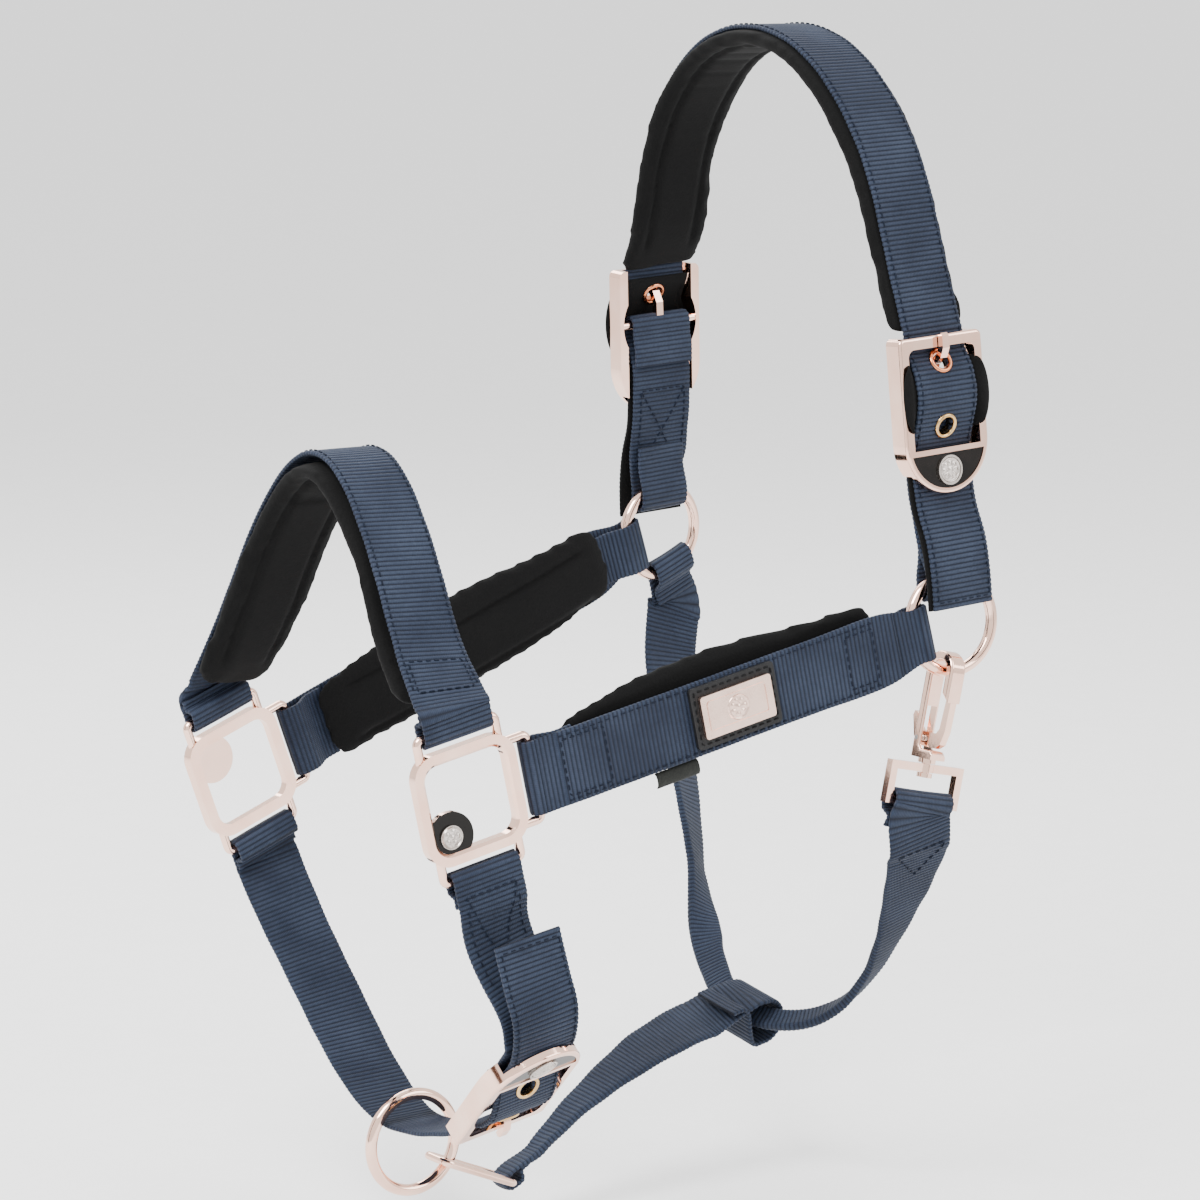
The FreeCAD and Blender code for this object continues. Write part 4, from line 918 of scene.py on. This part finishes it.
def padded_piece(name, route, left, right, thick, top, node):
    """A sewn pad under a strap, with two stitched channels along its inner face."""
    verts, faces = pad_cage(route, left, right, thick, top)
    item = new_object(name, verts, faces, PADDING, "root", 180.0)
    remesh = item.modifiers.new("Remesh", "REMESH")
    remesh.mode, remesh.voxel_size = "VOXEL", PAD_CELL * MM
    apply_modifiers(item)
    soften(item)
    shape = item.modifiers.new("Subdivision", "SUBSURF")
    shape.levels = shape.render_levels = 1
    apply_modifiers(item)
    points = np.array([v.co for v in item.data.vertices]) / MM
    u, v, w = route.locate(points)
    over = np.maximum(w - np.interp(v, route.v, top), 0)
    low = w < np.interp(v, route.v, np.array(top) - np.array(thick) / 2)
    fade = np.clip(np.minimum(v - 8, route.length - 8 - v) / 6, 0, 1)
    sink = np.exp(-((np.abs(u) - CHANNEL_AT) / CHANNEL_WIDTH) ** 2) * CHANNEL_DEPTH * fade * low
    frames = np.clip(np.searchsorted(route.v, v), 0, len(route.v) - 1)
    points += route.normal[frames] * (sink - over)[:, None]
    item.data.vertices.foreach_set("co", (points * MM).ravel())
    item.data.materials.clear()
    item.data.materials.append(PADDING)
    item.data.polygons.foreach_set("use_smooth", np.ones(len(item.data.polygons), bool))
    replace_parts(item, node)


def rounded_share(route, reach):
    """1 along the middle of a route, falling to 0 in a quarter circle over reach at each end."""
    near_end = np.clip(np.minimum(route.v, route.length - route.v) / reach, 0, 1)
    return np.sqrt(np.clip(1 - (1 - near_end) ** 2, 0.02, 1))


def build_crown_pad():
    route = Route(crown_arch(), 2.0)
    share = rounded_share(route, 5.0)
    ends = np.clip(np.minimum(route.v, route.length - route.v) / 12, 0, 1)
    thick = PAD_THICK * (0.66 + 0.34 * ends)
    top = np.full(len(route.v), -HALF_WEB - 0.1)
    half = (PAD_WIDTH / 2 - 0.6) * (0.8 + 0.2 * share)
    padded_piece("crown_padding", route, half, half, thick - 0.6, top, "crown_pad")


def build_nose_pad(route):
    keep = [k for k, v in enumerate(route.v) if 7.0 <= v <= route.length - 7.0][::2]
    inner = Route([(route.point[k], route.across[k], PAD_WIDTH, PAD_THICK) for k in keep], 2.0)
    share = rounded_share(inner, 8.0)
    half = PAD_WIDTH / 2 * (0.62 + 0.38 * share) - 0.8
    top = np.full(len(inner.v), -(WEB_THICK * 1.5 + GAP + 0.1))
    thick = np.full(len(inner.v), PAD_THICK - 0.6)
    padded_piece("noseband_padding", inner, half, half, thick, top, "nose_pad")


# Distance from the ring's centre, reach above and below the strap, thickness.
CHEEK_PAD_RUN = [(27.5, 14.0, 8.0, 2.4), (33.0, 17.6, 11.0, 3.6), (62.0, 19.0, 14.6, 5.4),
                 (92.0, 21.5, 15.4, 5.6), (124.0, 20.0, 15.4, 5.4)]
CHEEK_PAD_DROP = 0.5


def build_cheek_pad(side, length):
    along, up, out = cheek_axes(side)
    centre = RING_CENTRE[side]
    across = up if np.dot(np.cross(up, along), out) > 0 else -up
    flip = 1.0 if np.dot(across, up) > 0 else -1.0
    table = np.array(CHEEK_PAD_RUN + [(length - 45.0, 16.0, 14.6, 4.4), (length - 35.0, 13.6, 13.6, 2.6)])
    xs = np.linspace(table[0, 0] + 0.6, table[-1, 0] - 0.6, 70)
    route = Route([web(centre + along * x, across) for x in xs], 2.0)
    place = route.v + xs[0]
    above, below, thick = [np.interp(place, table[:, 0], table[:, k]) for k in (1, 2, 3)]
    share = rounded_share(route, 6.0)
    above, below = above * (0.62 + 0.38 * share) - 0.5, below * (0.62 + 0.38 * share) - 0.5
    right, left = (above, below) if flip > 0 else (below, above)
    top = np.full(len(route.v), -CHEEK_PAD_DROP)
    padded_piece(side + "_cheek_padding", route, left, right, thick - 0.4, top, side + "_cheek_pad")


# ---- hardware
def finish_node(name, material, bevel=0.0):
    """Gives a CAD node its material and, where it is plain machined metal, softened edges."""
    item = frame["nodes"][name]
    for place in item.material_slots:
        place.material = material
    if not item.material_slots:
        item.data.materials.append(material)
    if bevel:
        soft = item.modifiers.new("Bevel", "BEVEL")
        soft.width, soft.segments, soft.limit_method = bevel * MM, 3, "ANGLE"
        soft.angle_limit = math.radians(35)
        soft.use_clamp_overlap = True
        soft.harden_normals = True


def build_hardware():
    for side in SIDE:
        finish_node(side + "_cheek_ring", ROSE_GOLD)
        finish_node(side + "_square_ring", ROSE_GOLD, 0.55)
        out = cheek_axes(side)[2]
        badge = plated_back(side + "_badge_enamel", (0.006, 0.005, 0.0045), (0.86, 0.58, 0.47), out)
        finish_node(side + "_corner_badge", badge, 0.2)
        finish_node(side + "_badge_emblem", SILVER, 0.15)
    buckle = [("buckle_frame", ROSE_GOLD, 0.4), ("pivot_bar", ROSE_GOLD, 0.0), ("tongue", ROSE_GOLD, 0.4),
              ("enamel_plate", ENAMEL, 0.0), ("medallion", SILVER, 0.15)]
    for name in ("near_crown", "far_crown", "chin"):
        for piece, material, bevel in buckle:
            finish_node(name + "_" + piece, material, bevel)
    for name, material, bevel in [
            ("lead_ring", ROSE_GOLD, 0.0), ("jaw_link", ROSE_GOLD, 0.0), ("snap_hook_body", ROSE_GOLD, 0.3),
            ("snap_trigger", ROSE_GOLD, 0.4), ("snap_trigger_pin", STEEL, 0.1),
            ("snap_trigger_spring", STEEL, 0.1), ("snap_strap_eye", ROSE_GOLD, 0.7),
            ("name_patch", LEATHER, 0.3), ("name_plate", PLATE, 0.3)]:
        finish_node(name, material, bevel)


def turned(name, place, profile, material, steps=48):
    """A ring turned about a place's z from a closed profile of (radius, height) points."""
    rings = []
    for k in range(steps):
        turn = 2 * math.pi * k / steps
        rings.append([place.at(r * math.cos(turn), r * math.sin(turn), h) for r, h in profile])
    rings = np.array(rings)
    index = np.arange(steps * len(profile)).reshape(steps, -1)
    there = np.roll(index, -1, 0)
    quads = np.stack([index, there, np.roll(there, -1, 1), np.roll(index, -1, 1)], axis=-1).reshape(-1, 4)
    return new_object(name, rings.reshape(-1, 3), quads.tolist(), material, "root", 40.0)


def rim_profile(hole, outer, rise, back):
    """A rolled eyelet: a domed flange in front, a tube through the strap and a small flange behind."""
    half = (outer - hole) / 2
    mid = hole + half
    front = [(mid + half * math.cos(a), rise * math.sin(a)) for a in np.linspace(0, math.pi, 9)]
    rear = [(mid - half * math.cos(a), -back - 0.5 * math.sin(a)) for a in np.linspace(0, math.pi, 7)]
    wall = 0.25
    return front + [(hole, -back)] + rear[1:] + [(hole + wall, -back + 0.02), (hole + wall, -0.02)]


def build_eyelets():
    """Domed eyelets for both crown buckles and the chin strap."""
    for side in SIDE:
        for y, material, tone in ((LOWER_EYELET, BRASS, "lower"), (UPPER_EYELET, COPPER, "upper")):
            part = one_eyelet("%s_crown_%s_eyelet" % (side, tone), BUCKLE[side], y, material, 2.9)
            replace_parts(part, side + "_crown_eyelets")
    for y, tone in ((LOWER_EYELET, "lower"), (UPPER_EYELET, "upper")):
        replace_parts(one_eyelet("chin_%s_eyelet" % tone, BUCKLE["chin"], y, BRASS, 1.7), "chin_eyelets")
    before, here, after = chin_sweep()[CHIN_EYELET_STATION - 1:CHIN_EYELET_STATION + 2]
    spare = Place(here[0], here[1], after[0] - before[0])
    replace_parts(set_eyelet("chin_spare_eyelet", spare, BRASS, 1.7), "chin_eyelets")


def set_eyelet(name, place, material, back):
    """Puts an eyelet through a strap whose middle lies at the place."""
    place.origin = place.origin + place.z * HALF_WEB
    return turned(name, place, rim_profile(3.0, 4.5, 0.75, back), material)


def one_eyelet(name, buckle, y, material, back):
    slope = run_height(y + 0.5) - run_height(y - 0.5)
    along = unit(buckle.y + buckle.z * slope)
    return set_eyelet(name, Place(buckle.at(0, y, run_height(y)), buckle.x, along), material, back)


def chin_sweep():
    place = BUCKLE["chin"]
    along, up, out = cheek_axes("far")
    bar = np.array(SQUARES["far"]) - up * SLOT_GRIP
    last = web(bar - up * 9 + out * SLOT_LEVEL, along)
    passing = along_run(place, BUCKLE_RUN)
    middle = [(vec(*spot), -BACK, wide, WEB_THICK) for spot, wide in FAR_CHIN]
    return smooth([passing[-1]] + middle + [last], 51)


def relief(name, place, radius, height, material, petals=8):
    """Generic raised ornament: a rim, a petalled ring and a centre dome on a round field."""
    verts, faces = [], []
    steps, rows = 96, np.linspace(0, 1, 26)
    for share in rows:
        for k in range(steps):
            turn = 2 * math.pi * k / steps
            ring = math.exp(-((share - 0.9) / 0.06) ** 2)
            flower = max(0.0, math.cos(petals * turn / 2) ** 2) * math.exp(-((share - 0.52) / 0.17) ** 2)
            dome = math.exp(-(share / 0.2) ** 2)
            rise = height * (0.15 + 0.85 * max(ring, 0.9 * flower, dome)) * (share < 0.985)
            verts.append(place.at(radius * share * math.cos(turn), radius * share * math.sin(turn), rise))
    for row in range(len(rows) - 1):
        for k in range(steps):
            a, b = row * steps + k, row * steps + (k + 1) % steps
            faces.append((a, a + steps, b + steps, b))
    new_object(name, np.array(verts), faces, material, "root", 60.0)


def build_ornaments():
    """Raised relief on the medallions and the corner badges."""
    for name, key in (("near_crown", "near"), ("far_crown", "far"), ("chin", "chin")):
        buckle = BUCKLE[key]
        face = Place(buckle.at(0, -25.2, 5.38), buckle.x, buckle.y)
        relief(name + "_medallion_relief", face, 4.25, 0.6, SILVER)
    for side in SIDE:
        along, up, out = cheek_axes(side)
        square = Place(np.array(SQUARES[side]), -along, up * -SIDE[side])
        face = Place(square.at(-9.3, -9.3, 1.78), square.x, square.y)
        relief(side + "_badge_relief", face, 3.7, 0.6, SILVER, petals=5)


# ---- trim on the near cheekpiece
def build_trim():
    """Stitching and a blank raised frame on the leather patch, and the folded blank label beside it."""
    along, up, out = cheek_axes("near")
    centre = RING_CENTRE["near"]
    surface = RING_WIRE + GAP + WEB_THICK
    face = centre + up * 0.5 + out * (surface + 1.5)
    patch = Route([(face + along * x, -up, 21.0, 1.0) for x in (70, 80, 91, 102, 112)], 1.0)
    low, high = 91 - 70 - 15.0, 91 - 70 + 15.0
    rows = sewn_box(9.0, low, high, False)
    lift = 0.1 if np.dot(patch.normal[0], out) > 0 else -0.1
    stitches("name_patch_stitching", patch, rows, lift, BLACK_THREAD)
    frame_top = Place(centre + along * 91.0 + up * 0.5 + out * (surface + 3.0), -along, up)
    blank_frame("name_plate_rim", frame_top, 11.6, 5.2, 0.55, 0.35)
    rosette = Place(frame_top.origin - frame_top.z * 0.05, frame_top.x, frame_top.y)
    relief("name_plate_rosette", rosette, 4.3, 0.5, PLATE, petals=7)
    mid = centre + along * 115.0 - up * 15.6
    label = []
    for share in np.linspace(0, 1, 13):
        arc = math.pi * share
        reach = 2.4 * math.cos(arc) - 0.2
        label.append((mid + up * reach + out * (surface - 2.6 + 1.2 * math.sin(arc)), along, 16.4, 0.5))
    strap("size_label_fold", Route(label, 0.35), LABEL, "size_label", 0.0, wobble=0.0)


def blank_frame(name, place, half_x, half_y, width, rise):
    """A raised rounded rectangle, with nothing in it."""
    verts, outline = [], []
    corner, steps = 1.2, 6
    for cx, cy, start in ((half_x - corner, half_y - corner, 0), (corner - half_x, half_y - corner, 90),
                          (corner - half_x, corner - half_y, 180), (half_x - corner, corner - half_y, 270)):
        for k in range(steps + 1):
            turn = math.radians(start + 90 * k / steps)
            outline.append((cx, cy, math.cos(turn), math.sin(turn)))
    for offset, height in ((0, 0), (0, rise), (-width, rise), (-width, 0)):
        for cx, cy, c, s in outline:
            reach = corner + offset
            verts.append(place.at(cx + c * reach, cy + s * reach, height))
    new_object(name, np.array(verts), band_faces(0, 3, len(outline)), PLATE, "root", 30.0)


# ---- build
build_crown()
nose_route = build_noseband()
for side in SIDE:
    build_cheek_pad(side, build_cheekpiece(side))
build_chin()
build_throat()
build_crown_pad()
build_nose_pad(nose_route)
build_hardware()
build_eyelets()
build_ornaments()
build_trim()


# ---- studio
FLOOR_DROP = 12.0
AIM = vec(-73.0, 0, -185.0)
AZIMUTH, ELEVATION, DISTANCE = -35.0, 9.0, 1500.0
FLOOR_HALF = 45.0
CARD = cloth_material("card_felt", (0.05, 0.028, 0.02), (0.08, 0.045, 0.032), 300.0)


def add_floor():
    low = cad_bounds[0][2] - FLOOR_DROP * MM
    corners = [(x * FLOOR_HALF, y * FLOOR_HALF, low) for x, y in ((-1, -1), (1, -1), (1, 1), (-1, 1))]
    paper = cloth_material("floor_paper", (0.9, 0.9, 0.9), (0.94, 0.94, 0.94), 300.0)
    add_sheet("floor", corners, paper)


def add_sheet(name, corners, material):
    mesh = bpy.data.meshes.new(name)
    mesh.from_pydata(corners, [], [(0, 1, 2, 3)])
    mesh.materials.append(material)
    add_object(name, mesh)


def bearing(azimuth, elevation):
    """The direction from the collar towards a place seen at these angles, in degrees."""
    a, e = math.radians(azimuth), math.radians(elevation)
    return vec(math.sin(a) * math.cos(e), -math.cos(a) * math.cos(e), math.sin(e))


def add_card(name, azimuth, elevation, distance, width, height):
    """A dark card beside the collar, only there to put dark streaks in the polished metal."""
    away = bearing(azimuth, elevation)
    right = unit(np.cross(away, vec(0, 0, 1)))
    rise = np.cross(right, away)
    centre = AIM + away * distance
    quarters = ((-0.5, -0.5), (0.5, -0.5), (0.5, 0.5), (-0.5, 0.5))
    corners = [centre + right * (width * x) + rise * (height * y) for x, y in quarters]
    add_sheet(name, (np.array(corners) * MM).tolist(), CARD)


def add_light(name, azimuth, elevation, distance, size, power):
    """A square area light aimed at the collar, with its place given as the camera's is."""
    away = bearing(azimuth, elevation)
    data = bpy.data.lights.new(name, "AREA")
    data.energy, data.size = power, size
    item = add_object(name, data)
    item.location = ((AIM + away * distance) * MM).tolist()
    item.rotation_euler = aim_rotation(away)


def aim_rotation(away):
    """Rotation that points an object's -Z opposite to away, with its Y up."""
    return Vector(away.tolist()).to_track_quat("Z", "Y").to_euler()


def add_camera():
    away = bearing(AZIMUTH, ELEVATION)
    data = bpy.data.cameras.new("camera")
    data.lens, data.sensor_width = 132.75, 36.0
    data.clip_start, data.clip_end = 0.05, 30.0
    item = add_object("camera", data)
    item.location = ((AIM + away * DISTANCE) * MM).tolist()
    item.rotation_euler = aim_rotation(away)
    bpy.context.scene.camera = item


def add_world():
    world = bpy.data.worlds.new("studio")
    bpy.context.scene.world = world
    world.use_nodes = True
    back = world.node_tree.nodes["Background"]
    back.inputs["Color"].default_value = (1.0, 1.0, 1.0, 1)
    back.inputs["Strength"].default_value = 1.7


add_floor()
add_camera()
add_card("left_card", -100.0, 5.0, 1500.0, 320.0, 1500.0)
add_card("right_card", 12.0, 4.0, 1700.0, 260.0, 1300.0)
add_light("key", -70.0, 48.0, 1400.0, 0.7, 34.0)
add_light("fill", 35.0, 30.0, 1600.0, 1.0, 14.0)
add_light("rim", 170.0, 45.0, 1500.0, 0.9, 18.0)
add_world()
